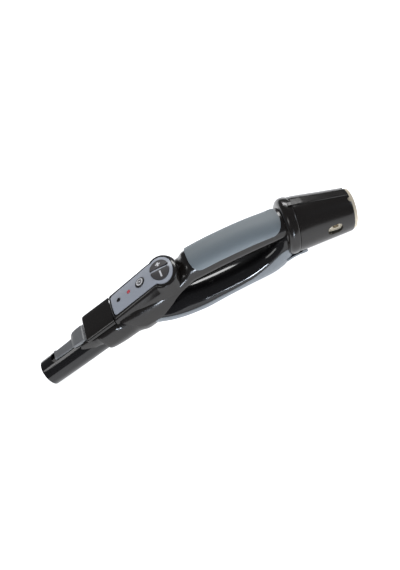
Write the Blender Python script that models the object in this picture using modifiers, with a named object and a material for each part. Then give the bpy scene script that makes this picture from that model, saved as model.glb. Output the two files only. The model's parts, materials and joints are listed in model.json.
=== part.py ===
"""Hose handle of a cylinder vacuum cleaner, with a remote control in its top.

X runs from the wand spigot (low) to the hose socket (high), Z is up and the grip is on top.
All numbers below are millimetres; they are scaled to metres when a mesh is made.
"""
import math

import bmesh
import bpy
from mathutils import Matrix, Vector

MM = 0.001
GAP = 0.3                                   # clearance between neighbouring pieces
FIT = 0.4                                   # clearance where one curved piece is cut to fit another

# Wand spigot: a tube that rises towards the grip
SPIGOT_TILT = math.radians(11.6)
SPIGOT_R = 17.0
SPIGOT_ROOT_R = 17.9
SPIGOT_WALL = 2.2
DUCT_START = -56.5
SPIGOT_LENGTH = 125.0
TIP = (-210.3, SPIGOT_R * math.cos(SPIGOT_TILT))

# Hose socket: a tapering cup that falls away from the grip
SOCKET_TILT = math.radians(16.2)
SOCKET_LENGTH = 68.0
SOCKET_R = 32.6
RIM_R = 26.2
CUP_R = 27.0                                # inside, between the seam and the swivel ring
SWIVEL_R = 24.0
SWIVEL_BORE_R = 21.2
SWIVEL_START = 22.0                         # where the swivel ring begins inside the cup
SWIVEL_OUT = 4.4
SEAM = (137.0, 51.8)

# Latch, in the spigot's own directions: distance from the tip, height over the axis
LATCH_PIVOT = (76.5, 18.2)
PIN_R = 0.9
CHANNEL_HALF = 7.8
CHANNEL_FLOOR = 11.4

# Remote control
PUCK_X = -21.2
PAD_KEYS_X = -22.2
KEY_R = (11.9, 16.0)                        # the key pair's half length and half width
KEY_SPLIT = 1.5                             # from the middle line to each key
POWER_X = -50.0
POWER_R = 6.5
LED_X = -67.4
LED_R = 2.3
SENSOR_X = -83.0
SENSOR_R = 2.6
PANEL_THICK = 1.6
NECK_SLOPE = math.radians(16.0)
BOARD_Z = 77.8
# Plans: the puck's half length and half width, the strip's half widths at the puck and front, front, corner
PANEL_PLAN = (14.8, 22.0, 17.6, 16.2, -93.6, 4.0)
POD_PLAN = (20.3, 26.6, 21.4, 21.4, -97.0, 1.4)

# Grip
SCREW_X = (24, 92)
SCREW_HOLE_R = 1.7
SCREW_SINK_R = 3.1
PAD_FRONT = 12.5
PAD_REAR = 127.5

# Section tables: x, height of the widest line, half width, reach up, reach down, edge height
HANDLE_ROWS = (
    (-92, 41.4, 24.8, 22.6, 22, 60.0),
    (-85, 43.2, 25.8, 22.8, 22, 53.5),
    (-75, 44.0, 27.4, 24.2, 20, 45.0),
    (-65, 45.0, 28.0, 25.0, 18, 40.5),
    (-51, 47.0, 28.0, 24.2, 18, 41.0),
    (-30, 53.0, 26.4, 19.4, 16, 50.0),
    (-18, 58.0, 24.2, 15.0, 14, 56.5),
    (-8, 62.5, 22.0, 11.5, 13, 59.5),
    (0, 65.5, 20.8, 12.0, 13, 61.0),
    (8, 67.5, 20.2, 17.5, 13, 61.0),
    (16, 68.0, 20.2, 18.2, 14, 61.0),
    (36, 68.0, 20.3, 18.8, 14, 61.0),
    (67, 67.0, 20.3, 18.4, 14, 60.0),
    (92, 65.5, 20.3, 17.2, 14, 58.5),
    (113, 63.5, 20.4, 15.2, 13, 57.0),
    (128, 62.5, 20.8, 13.8, 12, 62.0),
    (138, 62.3, 20.8, 13.4, 12, 69.5),
)
DUCT_ROWS = (
    (-56.5, 40.5, 24.4, 18.0, 20.0, 42.0),
    (-38, 30.3, 24.0, 17.0, 18.0, 32.0),
    (-13, 21.6, 22.2, 21.5, 16.0, 23.0),
    (8, 18.9, 21.5, 19.0, 15.5, 20.5),
    (36, 19.3, 21.0, 16.0, 15.0, 20.5),
    (64, 20.6, 21.0, 14.5, 17.0, 21.8),
    (90, 23.5, 21.2, 16.0, 19.6, 28.5),
    (108, 30.0, 21.8, 18.0, 22.6, 36.5),
    (116, 35.8, 22.6, 18.6, 23.6, 40.0),
    (126, 45.5, 24.5, 20.0, 24.6, 43.5),
    (134, 48.0, 25.0, 20.5, 24.0, 47.0),
)
UNDERSIDE_ROWS = (
    (-20, 60.0, 21.6, 10, 13.0, 57.8),
    (-12, 62.0, 20.0, 10, 12.0, 58.2),
    (0, 65.5, 20.0, 10, 11.8, 60.7),
    (16, 68.0, 20.0, 10, 13.8, 60.7),
    (36, 68.0, 20.0, 10, 14.0, 60.7),
    (67, 67.0, 20.0, 10, 13.8, 59.7),
    (92, 65.5, 20.0, 10, 13.2, 58.2),
    (108, 64.0, 20.2, 10, 11.6, 57.0),
)
# Rear lip of the duct's lower cover: distance along the socket, inner radius, outer radius
TAIL_ROWS = ((-14, 39.0, 41.4), (-7, 36.4, 38.6), (1, 34.6, 36.6), (4, 34.5, 36.4), (5.5, 33.1, 36.2),
             (9.5, 33.1, 36.0), (11.5, 33.1, 35.0))
TAIL_HALF = 22.0

# Mesh density
WALL = 2.2
HANDLE_COUNT = 17                           # points on one arc of a handle section
DUCT_COUNT = 13
TURN_STEPS = 40


def slope_fit(xs, ys):
    """Slopes of a curve through the points that never overshoots them."""
    steps = [(ys[i + 1] - ys[i]) / (xs[i + 1] - xs[i]) for i in range(len(xs) - 1)]
    slopes = [steps[0]]
    for before, after in zip(steps, steps[1:]):
        slopes.append(0.0 if before * after <= 0 else 2 * before * after / (before + after))
    slopes.append(steps[-1])
    return slopes


def curve_at(xs, ys, x):
    """Height at x of the smooth curve through the points (xs, ys)."""
    x = min(max(x, xs[0]), xs[-1])
    i = max(k for k in range(len(xs) - 1) if xs[k] <= x)
    slopes = slope_fit(xs, ys)
    h = xs[i + 1] - xs[i]
    t = (x - xs[i]) / h
    return ((1 + 2 * t) * (1 - t) ** 2 * ys[i] + t * (1 - t) ** 2 * h * slopes[i]
            + t * t * (3 - 2 * t) * ys[i + 1] - t * t * (1 - t) * h * slopes[i + 1])


def row_at(rows, x):
    """The section values of a table at x."""
    xs = [row[0] for row in rows]
    return [curve_at(xs, [row[k] for row in rows], x) for k in range(1, len(rows[0]))]


def spread(start, end, step):
    """Evenly spaced stations from start to end, about one step apart."""
    count = max(2, round((end - start) / step))
    return [start + (end - start) * k / count for k in range(count + 1)]


def spigot_point(s, y, v):
    """A point s along the spigot from its tip and v over its axis."""
    c, q = math.cos(SPIGOT_TILT), math.sin(SPIGOT_TILT)
    return Vector((TIP[0] + s * c - v * q, y, TIP[1] + s * q + v * c))


def socket_point(s, y, v):
    """A point s along the socket from its seam and v over its axis."""
    c, q = math.cos(SOCKET_TILT), math.sin(SOCKET_TILT)
    return Vector((SEAM[0] + s * c + v * q, y, SEAM[1] - s * q + v * c))


def axis_frame(origin, tilt):
    """Matrix that turns local Z along a tilted axis and local X upwards."""
    c, q = math.cos(tilt), math.sin(tilt)
    turn = Matrix(((-q, 0, c), (0, -1, 0), (c, 0, q))).to_4x4()
    return Matrix.Translation(Vector((origin[0], 0, origin[1])) * MM) @ turn


SPIGOT_FRAME = axis_frame(TIP, SPIGOT_TILT)
SOCKET_FRAME = axis_frame(SEAM, -SOCKET_TILT)


def panel_z(x):
    """Height of the remote control's top along its middle."""
    xs = (-97, -83, -67.4, -50, -39, -29, -18, 0)
    zs = (69.2, 73.0, 77.4, 82.2, 85.4, 87.2, 86.8, 85.0)
    return curve_at(xs, zs, x)


def clear_scene():
    """Empty the file and make the two collections."""
    for obj in list(bpy.data.objects):
        bpy.data.objects.remove(obj, do_unlink=True)
    parts = bpy.data.collections.new("vacuum_hose_handle")
    cutters = bpy.data.collections.new("cutters")
    for group in (parts, cutters):
        bpy.context.scene.collection.children.link(group)
    return parts, cutters


PARTS, CUTTERS = clear_scene()

FINISHES = {
    "black": ((0.018, 0.017, 0.016), 0.28, 0.0),
    "gloss_black": ((0.012, 0.012, 0.014), 0.12, 0.0),
    "panel_grey": ((0.42, 0.45, 0.49), 0.38, 0.0),
    "pad_grey": ((0.19, 0.23, 0.26), 0.65, 0.0),
    "latch_grey": ((0.33, 0.34, 0.36), 0.5, 0.0),
    "cover_grey": ((0.30, 0.30, 0.32), 0.5, 0.0),
    "key_grey": ((0.09, 0.09, 0.09), 0.45, 0.0),
    "cream": ((0.72, 0.66, 0.52), 0.45, 0.0),
    "red": ((0.6, 0.03, 0.04), 0.2, 0.0),
    "rubber": ((0.03, 0.03, 0.03), 0.8, 0.0),
    "steel": ((0.6, 0.6, 0.6), 0.3, 1.0),
    "brass": ((0.6, 0.45, 0.2), 0.3, 1.0),
    "board": ((0.03, 0.2, 0.09), 0.5, 0.0),
}


def finish(obj, look):
    """Give an object its own material."""
    colour, rough, metal = FINISHES[look]
    mat = bpy.data.materials.new(obj.name)
    mat.use_nodes = True
    shader = mat.node_tree.nodes["Principled BSDF"]
    shader.inputs["Base Color"].default_value = (*colour, 1)
    shader.inputs["Roughness"].default_value = rough
    shader.inputs["Metallic"].default_value = metal
    obj.data.materials.append(mat)


def place(name, mesh, look, matrix=None):
    """Link a mesh as a part, or as a cutter when it has no look."""
    obj = bpy.data.objects.new(name, mesh)
    if matrix is not None:
        obj.matrix_world = matrix
    if look is None:
        CUTTERS.objects.link(obj)
        obj.hide_render = True
        obj.display_type = "WIRE"
    else:
        PARTS.objects.link(obj)
        finish(obj, look)
    return obj


def from_bmesh(name, bm, look, matrix=None):
    """Turn a bmesh built in millimetres into an object in metres."""
    bmesh.ops.scale(bm, vec=(MM, MM, MM), verts=bm.verts)
    bmesh.ops.recalc_face_normals(bm, faces=bm.faces)
    mesh = bpy.data.meshes.new(name)
    bm.to_mesh(mesh)
    bm.free()
    return place(name, mesh, look, matrix)


def loft(name, rings, look, matrix=None):
    """Skin a row of matching closed rings and cap both ends."""
    bm = bmesh.new()
    rows = [[bm.verts.new(point) for point in ring] for ring in rings]
    count = len(rows[0])
    for lower, upper in zip(rows, rows[1:]):
        for k in range(count):
            n = (k + 1) % count
            bm.faces.new((lower[k], lower[n], upper[n], upper[k]))
    bm.faces.new(rows[0])
    bm.faces.new(rows[-1])
    return from_bmesh(name, bm, look, matrix)


def turned(name, profile, look, matrix, steps=TURN_STEPS):
    """Turn a closed profile of (radius, height) points about local Z."""
    mesh = bpy.data.meshes.new(name)
    verts = [(r * MM, 0, h * MM) for r, h in profile]
    edges = [(k, (k + 1) % len(verts)) for k in range(len(verts))]
    mesh.from_pydata(verts, edges, [])
    obj = place(name, mesh, look, matrix)
    screw = obj.modifiers.new("turn", "SCREW")
    screw.steps = steps
    screw.render_steps = steps
    screw.merge_threshold = 0.00001
    return obj


def block(name, low, high, look, matrix=None):
    """A box between two corners, in millimetres of its own frame."""
    bm = bmesh.new()
    bmesh.ops.create_cube(bm, size=1)
    low, high = Vector(low), Vector(high)
    bmesh.ops.scale(bm, vec=high - low, verts=bm.verts)
    bmesh.ops.translate(bm, vec=(high + low) / 2, verts=bm.verts)
    return from_bmesh(name, bm, look, matrix)


def rod(name, centre, radius, length, direction, look, segments=20):
    """A cylinder centred on a point, along a direction."""
    bm = bmesh.new()
    bmesh.ops.create_cone(bm, cap_ends=True, segments=segments,
                          radius1=radius, radius2=radius, depth=length)
    turn = Vector((0, 0, 1)).rotation_difference(Vector(direction)).to_matrix().to_4x4()
    bmesh.ops.transform(bm, matrix=Matrix.Translation(Vector(centre)) @ turn, verts=bm.verts)
    return from_bmesh(name, bm, look)


def cut(obj, cutter, how="DIFFERENCE"):
    """Add an exact Boolean to a part."""
    modifier = obj.modifiers.new(cutter.name, "BOOLEAN")
    modifier.operation = how
    modifier.object = cutter
    modifier.solver = "EXACT"


def settle(obj):
    """Replace an object's mesh by its evaluated mesh, so that it can be shaped further."""
    graph = bpy.context.evaluated_depsgraph_get()
    graph.update()
    mesh = bpy.data.meshes.new_from_object(obj.evaluated_get(graph))
    obj.modifiers.clear()
    obj.data = mesh
    return obj


def power_law(value, power):
    """A signed power, for rounded-box sections."""
    return math.copysign(abs(value) ** power, value)


def arc(x, section, inset, above, count, power):
    """Points of a rounded section at x, above or below its edge height, left to right."""
    zc, half, up, down, edge = section
    half, up, down = half - inset, up - inset, down - inset
    reach = up if edge >= zc else down
    start = math.asin(min(0.999, abs((edge - zc) / reach) ** (power / 2)))
    start = math.copysign(start, edge - zc)
    turn = (start, math.pi - start) if above else (start, -math.pi - start)
    points = []
    for k in range(count):
        angle = turn[0] + (turn[1] - turn[0]) * k / (count - 1)
        c, s = math.cos(angle), math.sin(angle)
        tall = up if s >= 0 else down
        y = -half * power_law(c, 2 / power)
        points.append(Vector((x, y, zc + tall * power_law(s, 2 / power))))
    return points


def half_shell(name, rows, stations, above, look, power, count, wall=lambda x: WALL):
    """A moulded half shell: outer and inner arcs carried along X."""
    rings = []
    for x in stations:
        section = row_at(rows, x)
        outer = arc(x, section, 0, above, count, power(x))
        inner = arc(x, section, wall(x), above, count, power(x))
        rings.append(outer + inner[::-1])
    return loft(name, rings, look)


def filled(name, rows, stations, power, grow, floor):
    """A solid of a half shell's outer shape, grown a little and filled down to a floor."""
    rings = []
    for x in stations:
        zc, half, up, down, edge = row_at(rows, x)
        low = max(edge - grow, floor)
        top = []
        for point in arc(x, (zc, half, up, down, edge), 0, True, HANDLE_COUNT, power(x)):
            z = zc + (point.z - zc) * (up + grow) / up
            top.append(Vector((x, point.y * (half + grow) / half, max(z, low))))
        rings.append([Vector((x, top[0].y, floor))] + top + [Vector((x, top[-1].y, floor))])
    return loft(name, rings, None)


HANDLE_STATIONS = spread(-92, -8, 9.4) + spread(-8, 16, 8)[1:] + spread(16, 128, 14)[1:] + [138]


def handle_wall(x):
    """Wall of the handle moulding: it feathers out where it laps over the shroud."""
    return curve_at((-92, -78, 128), (0.6, 2.2, 2.2), x)


def handle_power(x):
    """How boxy the handle's section is: boxy over the spigot, rounder at the grip."""
    return curve_at((-92, -60, -20, 10, 128), (4.0, 3.4, 3.0, 2.3, 2.2), x)


def duct_power(x):
    """How boxy the air duct's section is."""
    return curve_at((-56.5, 60, 100, 134), (2.0, 2.0, 2.4, 2.2), x)


# ---------------------------------------------------------------- wand end
def spigot_tube():
    """The tube that plugs into the wand, with the latch's channel in its top."""
    outer = [(SPIGOT_ROOT_R, SPIGOT_LENGTH), (SPIGOT_ROOT_R, 60), (SPIGOT_R + 0.2, 3), (SPIGOT_R, 0)]
    inner = [(r - SPIGOT_WALL, h) for r, h in reversed(outer)]
    obj = turned("spigot_tube", outer + inner, "black", SPIGOT_FRAME, 32)
    boss = block("channel_boss", (CHANNEL_FLOOR - 1.8, -9.8, 16), (14.5, 9.8, 84), None, SPIGOT_FRAME)
    cut(obj, boss, "UNION")
    channel = block("channel", (CHANNEL_FLOOR, -CHANNEL_HALF, 18), (24, CHANNEL_HALF, 82),
                    None, SPIGOT_FRAME)
    cut(obj, channel)


def shroud_ring(s, half, up, down, box=4.0, base=0.0):
    """Section of the shroud across the spigot: round below its base height, flat-sided above."""
    ring = []
    for k in range(28):
        angle = 2 * math.pi * k / 28
        c, q = math.cos(angle), math.sin(angle)
        tall, power = (up - base, box) if q >= 0 else (down, 2.0)
        v = base + tall * power_law(q, 2 / power)
        ring.append(spigot_point(s, half * power_law(c, 2 / power), v))
    return ring


def front_shroud():
    """The sleeve round the spigot's root, with a saddle for the latch in front of it."""
    sleeve = ((89, 22.4, 20.6, 18.8), (91, 23.0, 20.6, 19.6), (100, 23.7, 20.6, 21.4),
              (112, 23.8, 20.6, 22.8),
              (120, 23.7, 20.2, 23.0, 2.8), (128, 23.6, 19.8, 23.6, 2.6), (132, 23.9, 19.8, 25.2, 2.6),
              (137, 24.6, 19.8, 28.6, 2.6), (142, 24.9, 19.8, 30.0, 2.6), (162, 24.9, 19.8, 29.6, 2.6))
    obj = loft("front_shroud", [shroud_ring(*row) for row in sleeve], "black")
    saddle = ((60, 13.6, 16.4, 4), (64, 14.8, 18.6, 5), (76, 17.6, 20.6, 6), (80, 18.4, 20.6, 6),
              (84, 19.4, 20.2, 4), (92, 22.6, 20.5, 4))
    rings = [shroud_ring(s, half, up, 1.5, box, 5.0) for s, half, up, box in saddle]
    cut(obj, loft("saddle", rings, None), "UNION")
    along = spigot_point(1, 0, 0) - spigot_point(0, 0, 0)
    cut(obj, rod("shroud_bore", spigot_point(49, 0, 0), SPIGOT_ROOT_R + GAP, 160, along, None, 32))
    cut(obj, rod("shroud_throat", spigot_point(150, 0, 0), SPIGOT_ROOT_R - 1.2, 60, along, None, 32))
    cut(obj, block("shroud_end", (DUCT_START - GAP, -40, -10), (-20, 40, 90), None))
    pocket = block("latch_pocket", (0, -13.2, 40), (30, 13.2, 80.5), None, SPIGOT_FRAME)
    cut(obj, pocket)
    pin = spigot_point(LATCH_PIVOT[0], 0, LATCH_PIVOT[1])
    cut(obj, rod("pin_hole", pin, PIN_R + 0.2, 29.2, (0, 1, 0), None))


def latch_ring(s, half, low, high):
    """Section of the latch lever: a box with its upper edges rounded."""
    r = 0.8
    outline = ((-half, low), (half, low), (half, high - r), (half - 0.3 * r, high - 0.3 * r),
               (half - r, high), (-half + r, high), (-half + 0.3 * r, high - 0.3 * r),
               (-half, high - r))
    return [spigot_point(s, y, v) for y, v in outline]


def latch_lever():
    """Press plate, tongue and hook in one moulding; its origin is on its pivot."""
    rows = ((24.4, 6.0, 15.2, 18.2), (25.2, 6.0, 15.2, 19.4), (27.6, 6.0, 15.2, 19.4),
            (28.2, 6.0, 15.2, 17.8), (40, 6.6, 15.2, 17.9), (52.2, 7.2, 16.9, 18.2),
            (53.6, 8.6, 17.2, 19.4), (55.5, 10.3, 17.6, 21.0), (58.5, 11.4, 18.2, 22.0),
            (63, 12.2, 18.2, 22.4), (72, 12.7, 18.0, 22.2), (74.0, 12.7, 16.6, 20.6),
            (79.4, 12.7, 16.6, 20.2))
    pin = spigot_point(LATCH_PIVOT[0], 0, LATCH_PIVOT[1])
    obj = loft("latch_lever", [latch_ring(*row) for row in rows], "latch_grey")
    cut(obj, rod("lever_hole", pin, PIN_R + 0.2, 60, (0, 1, 0), None))
    settle(obj)
    obj.data.transform(Matrix.Translation(-pin * MM))
    obj.location = pin * MM
    rod("latch_pin", pin, PIN_R, 28.4, (0, 1, 0), "steel")


def spring_coil(name, base, height, radius, wire, turns, look):
    """An upright compression spring as a swept wire."""
    curve = bpy.data.curves.new(name, "CURVE")
    curve.dimensions = "3D"
    curve.bevel_depth = wire * MM
    curve.bevel_resolution = 0
    curve.use_fill_caps = True
    steps = turns * 8
    line = curve.splines.new("POLY")
    line.points.add(steps)
    for k in range(steps + 1):
        angle = 2 * math.pi * turns * k / steps
        point = Vector((base[0] + radius * math.cos(angle), base[1] + radius * math.sin(angle),
                        base[2] + height * k / steps)) * MM
        line.points[k].co = (*point, 1)
    rope = bpy.data.objects.new(name + "_curve", curve)
    CUTTERS.objects.link(rope)
    graph = bpy.context.evaluated_depsgraph_get()
    graph.update()
    mesh = bpy.data.meshes.new_from_object(rope.evaluated_get(graph))
    bpy.data.objects.remove(rope, do_unlink=True)
    bm = bmesh.new()
    bm.from_mesh(mesh)
    bmesh.ops.remove_doubles(bm, verts=bm.verts, dist=1e-6)
    bmesh.ops.recalc_face_normals(bm, faces=bm.faces)
    bm.to_mesh(mesh)
    bm.free()
    mesh.materials.clear()
    place(name, mesh, look)


def latch_spring():
    """Small coil that pushes the latch up."""
    floor = spigot_point(62, 0, CHANNEL_FLOOR)
    spring_coil("latch_spring", (floor.x, 0, floor.z + 1.3), 3.6, 2.3, 0.3, 4, "steel")


# ---------------------------------------------------------------- air duct
def duct():
    """Glossy upper half, grey lower cover and the gasket at the spigot's root."""
    stations = spread(DUCT_START, 126.5, 11)
    half_shell("duct_upper", DUCT_ROWS, stations + [134], True, "gloss_black", duct_power, DUCT_COUNT)
    rows = [(*row[:5], row[5] - GAP) for row in DUCT_ROWS]
    lower = half_shell("lower_cover", rows, stations, False, "cover_grey",
                       duct_power, DUCT_COUNT)
    cut(lower, loft("tail", [tail_ring(*row) for row in TAIL_ROWS], None), "UNION")
    cut(lower, rod("tail_hole", socket_point(-4, 0, -38), SCREW_HOLE_R, 16, socket_up(), None, 14))
    cut(lower, rod("tail_sink", socket_point(-4, 0, -41.3), SCREW_SINK_R, 7.4, socket_up(), None, 16))
    gasket = [(SPIGOT_ROOT_R, 128.6), (SPIGOT_ROOT_R, 125.4), (15.9, 125.4), (15.9, 128.6)]
    turned("spigot_gasket", gasket, "rubber", SPIGOT_FRAME, 32)


def tail_ring(s, inner, outer, count=7):
    """Section of the cover's rear lip, an arc round the bottom of the socket."""
    sides = []
    for radius in (outer, inner):
        reach = math.asin(TAIL_HALF / radius)
        angles = [-reach + 2 * reach * k / (count - 1) for k in range(count)]
        sides.append([socket_point(s, radius * math.sin(a), -radius * math.cos(a)) for a in angles])
    return sides[0] + sides[1][::-1]


def socket_up():
    """The direction square to the socket's axis, upwards."""
    return socket_point(0, 0, 1) - socket_point(0, 0, 0)


# ---------------------------------------------------------------- hose end
def rear_collar():
    """The round collar that ties the grip and the duct to the hose socket."""
    profile = [(33.4, -0.4), (34.0, -4), (33.8, -8), (32.4, -11), (29.0, -13.4), (22.5, -14.2),
               (22.5, -11.6), (28.0, -10.6), (30.0, -8.6), (30.2, -0.4)]
    obj = turned("rear_collar", profile, "black", SOCKET_FRAME)
    stations = [x for x in HANDLE_STATIONS if x > 100] + [140]
    cut(obj, filled("handle_plug", HANDLE_ROWS, stations, handle_power, FIT + 0.15, 40))
    grown = [(x, zc, half + FIT, up + FIT, down + FIT, zc) for x, zc, half, up, down, _ in DUCT_ROWS]
    rings = []
    for x in spread(100, 134, 8.5):
        section = row_at(grown, x)
        top = arc(x, section, 0, True, DUCT_COUNT, duct_power(x))
        low = arc(x, section, 0, False, DUCT_COUNT, duct_power(x))
        rings.append(top + low[::-1][1:-1])
    cut(obj, loft("duct_plug", rings, None))
    cut(obj, rod("collar_hole", socket_point(-4, 0, -33), SCREW_HOLE_R, 12, socket_up(), None, 12))
    cut(obj, block("seam_tab", (32.4, 1, -5), (35.2, 6, -1), None, SOCKET_FRAME), "UNION")


def hose_socket():
    """Cup for the hose end, with snap windows, rim notches and a key rail on top."""
    profile = [(RIM_R - 0.3, SOCKET_LENGTH), (RIM_R, SOCKET_LENGTH - 1), (28.6, 44), (30.8, 24),
               (31.9, 14), (SOCKET_R, 4), (SOCKET_R, 0), (CUP_R, 0), (CUP_R, 20), (SWIVEL_R + GAP, 20.6),
               (SWIVEL_R + GAP, SOCKET_LENGTH)]
    obj = turned("hose_socket", profile, "black", SOCKET_FRAME)
    rail = []
    for s, low, top in ((0.2, 30, 33.5), (12, 30, 33.2), (12.4, 29.6, 32.5), (44, 27.2, 29.5),
                        (67, 25.0, 27.0)):
        corners = ((-5.6, low), (5.6, low), (5.2, top), (-5.2, top))
        rail.append([socket_point(s, y, v) for y, v in corners])
    cut(obj, loft("rail", rail, None), "UNION")
    for side in (-1, 1):
        angle = math.radians(24) * side
        spot = socket_point(SOCKET_LENGTH, math.sin(angle) * RIM_R, math.cos(angle) * RIM_R)
        cut(obj, rod("notch_%d" % side, spot, 2.3, 9,
                     socket_point(0, math.sin(angle), math.cos(angle)) - socket_point(0, 0, 0), None))
    cut(obj, oblong("windows", 19, 12.5, 90, 43.0, 0.6))
    end = SOCKET_LENGTH + SWIVEL_OUT
    ring_profile = [(SWIVEL_R - 0.4, end), (SWIVEL_R, end - 0.6), (SWIVEL_R, SWIVEL_START),
                    (SWIVEL_BORE_R, SWIVEL_START), (SWIVEL_BORE_R, end)]
    ring = turned("swivel_ring", ring_profile, "cream", SOCKET_FRAME)
    cut(ring, oblong("ring_windows", 8, 4.6, 90, 44.5, 1.3))
    turned("swivel_clip", [(26.7, 19.4), (26.7, 17.6), (23.2, 17.6), (23.2, 19.4)], "steel", SOCKET_FRAME)
    turned("socket_gasket", [(26.7, 13), (26.7, 9.8), (23.8, 9.8), (23.8, 13)], "rubber", SOCKET_FRAME)


def oblong(name, length, width, depth, s, v):
    """A slot cutter with round ends, lying across the socket at distance s and height v."""
    half = (length - width) / 2
    outline = []
    for k in range(16):
        angle = 2 * math.pi * (k + 0.5) / 16
        shift = half if math.cos(angle) > 0 else -half
        outline.append((shift + width / 2 * math.cos(angle), width / 2 * math.sin(angle)))
    rings = [[socket_point(s + a, side * depth / 2, v + b) for a, b in outline] for side in (-1, 1)]
    return loft(name, rings, None)


# ---------------------------------------------------------------- handle
def handle_shell():
    """The upper moulding: hips over the duct, the saddle of the remote and the grip."""
    obj = half_shell("handle_shell", HANDLE_ROWS, HANDLE_STATIONS, True, "black", handle_power,
                     HANDLE_COUNT, handle_wall)
    up_z = (0, 0, 1)
    for x in SCREW_X:
        zc, _, up, _, edge = row_at(HANDLE_ROWS, x)
        low, high = edge - GAP, zc + up - 1.0
        boss = rod("shell_boss_%d" % x, (x, 0, (low + high) / 2), 3.4, high - low, up_z, None, 16)
        cut(obj, boss, "UNION")
        cut(obj, rod("shell_pilot_%d" % x, (x, 0, 66), SCREW_HOLE_R, 17, up_z, None, 12))


def grip_underside():
    """The lower moulding of the grip, held by two screws from below."""
    obj = half_shell("grip_underside", UNDERSIDE_ROWS, spread(-20, 108, 12), False, "black",
                     lambda x: 3.0, 11, lambda x: 2.6)
    for number, x in enumerate(SCREW_X, 1):
        bottom = row_at(UNDERSIDE_ROWS, x)
        floor = bottom[0] - bottom[3]
        cut(obj, rod("under_hole_%d" % x, (x, 0, floor), SCREW_HOLE_R, 20, (0, 0, 1), None, 14))
        cut(obj, rod("under_sink_%d" % x, (x, 0, floor), SCREW_SINK_R, 2.6, (0, 0, 1), None, 18))
        screw("grip_screw_%d" % number, Vector((x, 0, floor + 0.1)), Vector((0, 0, 1)), 11.5)


def turned_solid(name, profile, look, matrix, steps):
    """Turn an open profile whose two ends lie on the axis."""
    mesh = bpy.data.meshes.new(name)
    mesh.from_pydata([(r * MM, 0, h * MM) for r, h in profile],
                     [(k, k + 1) for k in range(len(profile) - 1)], [])
    obj = place(name, mesh, look, matrix)
    modifier = obj.modifiers.new("turn", "SCREW")
    modifier.steps = steps
    modifier.render_steps = steps
    modifier.use_merge_vertices = True
    modifier.merge_threshold = 0.00001
    return obj


def screw(name, seat, direction, length):
    """A pan-head screw with its head's face at the seat and its shank along the direction."""
    turn = Vector((0, 0, 1)).rotation_difference(direction).to_matrix().to_4x4()
    head, shank, recess = 2.7, 1.3, 1.0
    profile = [(0.0, length), (0.5, length), (shank, length - 1), (shank, 1.1), (head, 1.1), (head, 0.3),
               (head - 0.4, 0.0), (recess, 0.0), (recess, 0.6), (0.0, 0.6)]
    turned_solid(name, profile, "steel", Matrix.Translation(seat * MM) @ turn, 10)


def rounded(share):
    """How far a quarter circle has opened after this share of its width."""
    return math.sqrt(1 - (1 - min(1.0, share)) ** 2)


def pad_reach(x):
    """Angle over the side at which the pad's edge lies at x: a blunt front and a pointed rear."""
    front = 0.55 + 0.45 * rounded((x - PAD_FRONT) / 7.0)
    rear = rounded((PAD_REAR - x) / 17.0)
    return 90 - 76 * front * rear


def grip_pad():
    """Soft-touch inlay over the top of the grip, a thin curved plate."""
    taper = PAD_REAR - 0.4 - 110
    rear = [110 + taper * math.sin(math.pi / 10 * k) for k in range(1, 6)]
    stations = spread(PAD_FRONT, 20, 2.5) + spread(20, 110, 11)[1:] + rear
    count = 13
    rings = []
    for x in stations:
        zc, half, up, down, edge = row_at(HANDLE_ROWS, x)
        low = math.radians(pad_reach(x))
        ring = []
        for inset, order in ((-1.9, range(count)), (-0.7, reversed(range(count)))):
            for k in order:
                angle = low + (math.pi - 2 * low) * k / (count - 1)
                power = 2 / handle_power(x)
                ring.append(Vector((x, -(half - inset) * power_law(math.cos(angle), power),
                                    zc + (up - inset) * power_law(math.sin(angle), power))))
        rings.append(ring)
    loft("grip_pad", rings, "pad_grey")


# ---------------------------------------------------------------- remote control
def between(start, end, count):
    """Evenly spaced points strictly between two points of a plan outline."""
    shares = [k / (count + 1) for k in range(1, count + 1)]
    return [(start[0] + (end[0] - start[0]) * t, start[1] + (end[1] - start[1]) * t) for t in shares]


def keyhole(length, width, strip, front_half, front, corner, inset=0.0):
    """Plan outline of the remote: an oval puck that runs into a strip with a rounded front."""
    length, width, strip = length - inset, width - inset, strip - inset
    front_half, front = front_half - inset, front + inset
    join = math.acos(strip / width)
    angles = [-math.pi / 2 - join + (math.pi + 2 * join) * k / 18 for k in range(19)]
    puck = [(PUCK_X + length * math.cos(a), width * math.sin(a)) for a in angles]
    turns = [math.pi / 6 * k for k in range(4)]
    left = [(front + corner - corner * math.sin(a), front_half - corner + corner * math.cos(a))
            for a in turns]
    right = [(x, -y) for x, y in left[::-1]]
    return (puck + between(puck[-1], left[0], 4) + left + between(left[-1], right[0], 3) + right
            + between(right[-1], puck[0], 4))


def crown(y):
    """How far the remote's top falls towards its sides."""
    return 1.65 * (1 - math.cos(math.pi * min(abs(y) / 26, 1)))


SKIRT = 20.0                                # how far the housing's wall runs down before it is cut
RECESS = 2.2                                # depth of the seat that holds the panel


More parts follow.
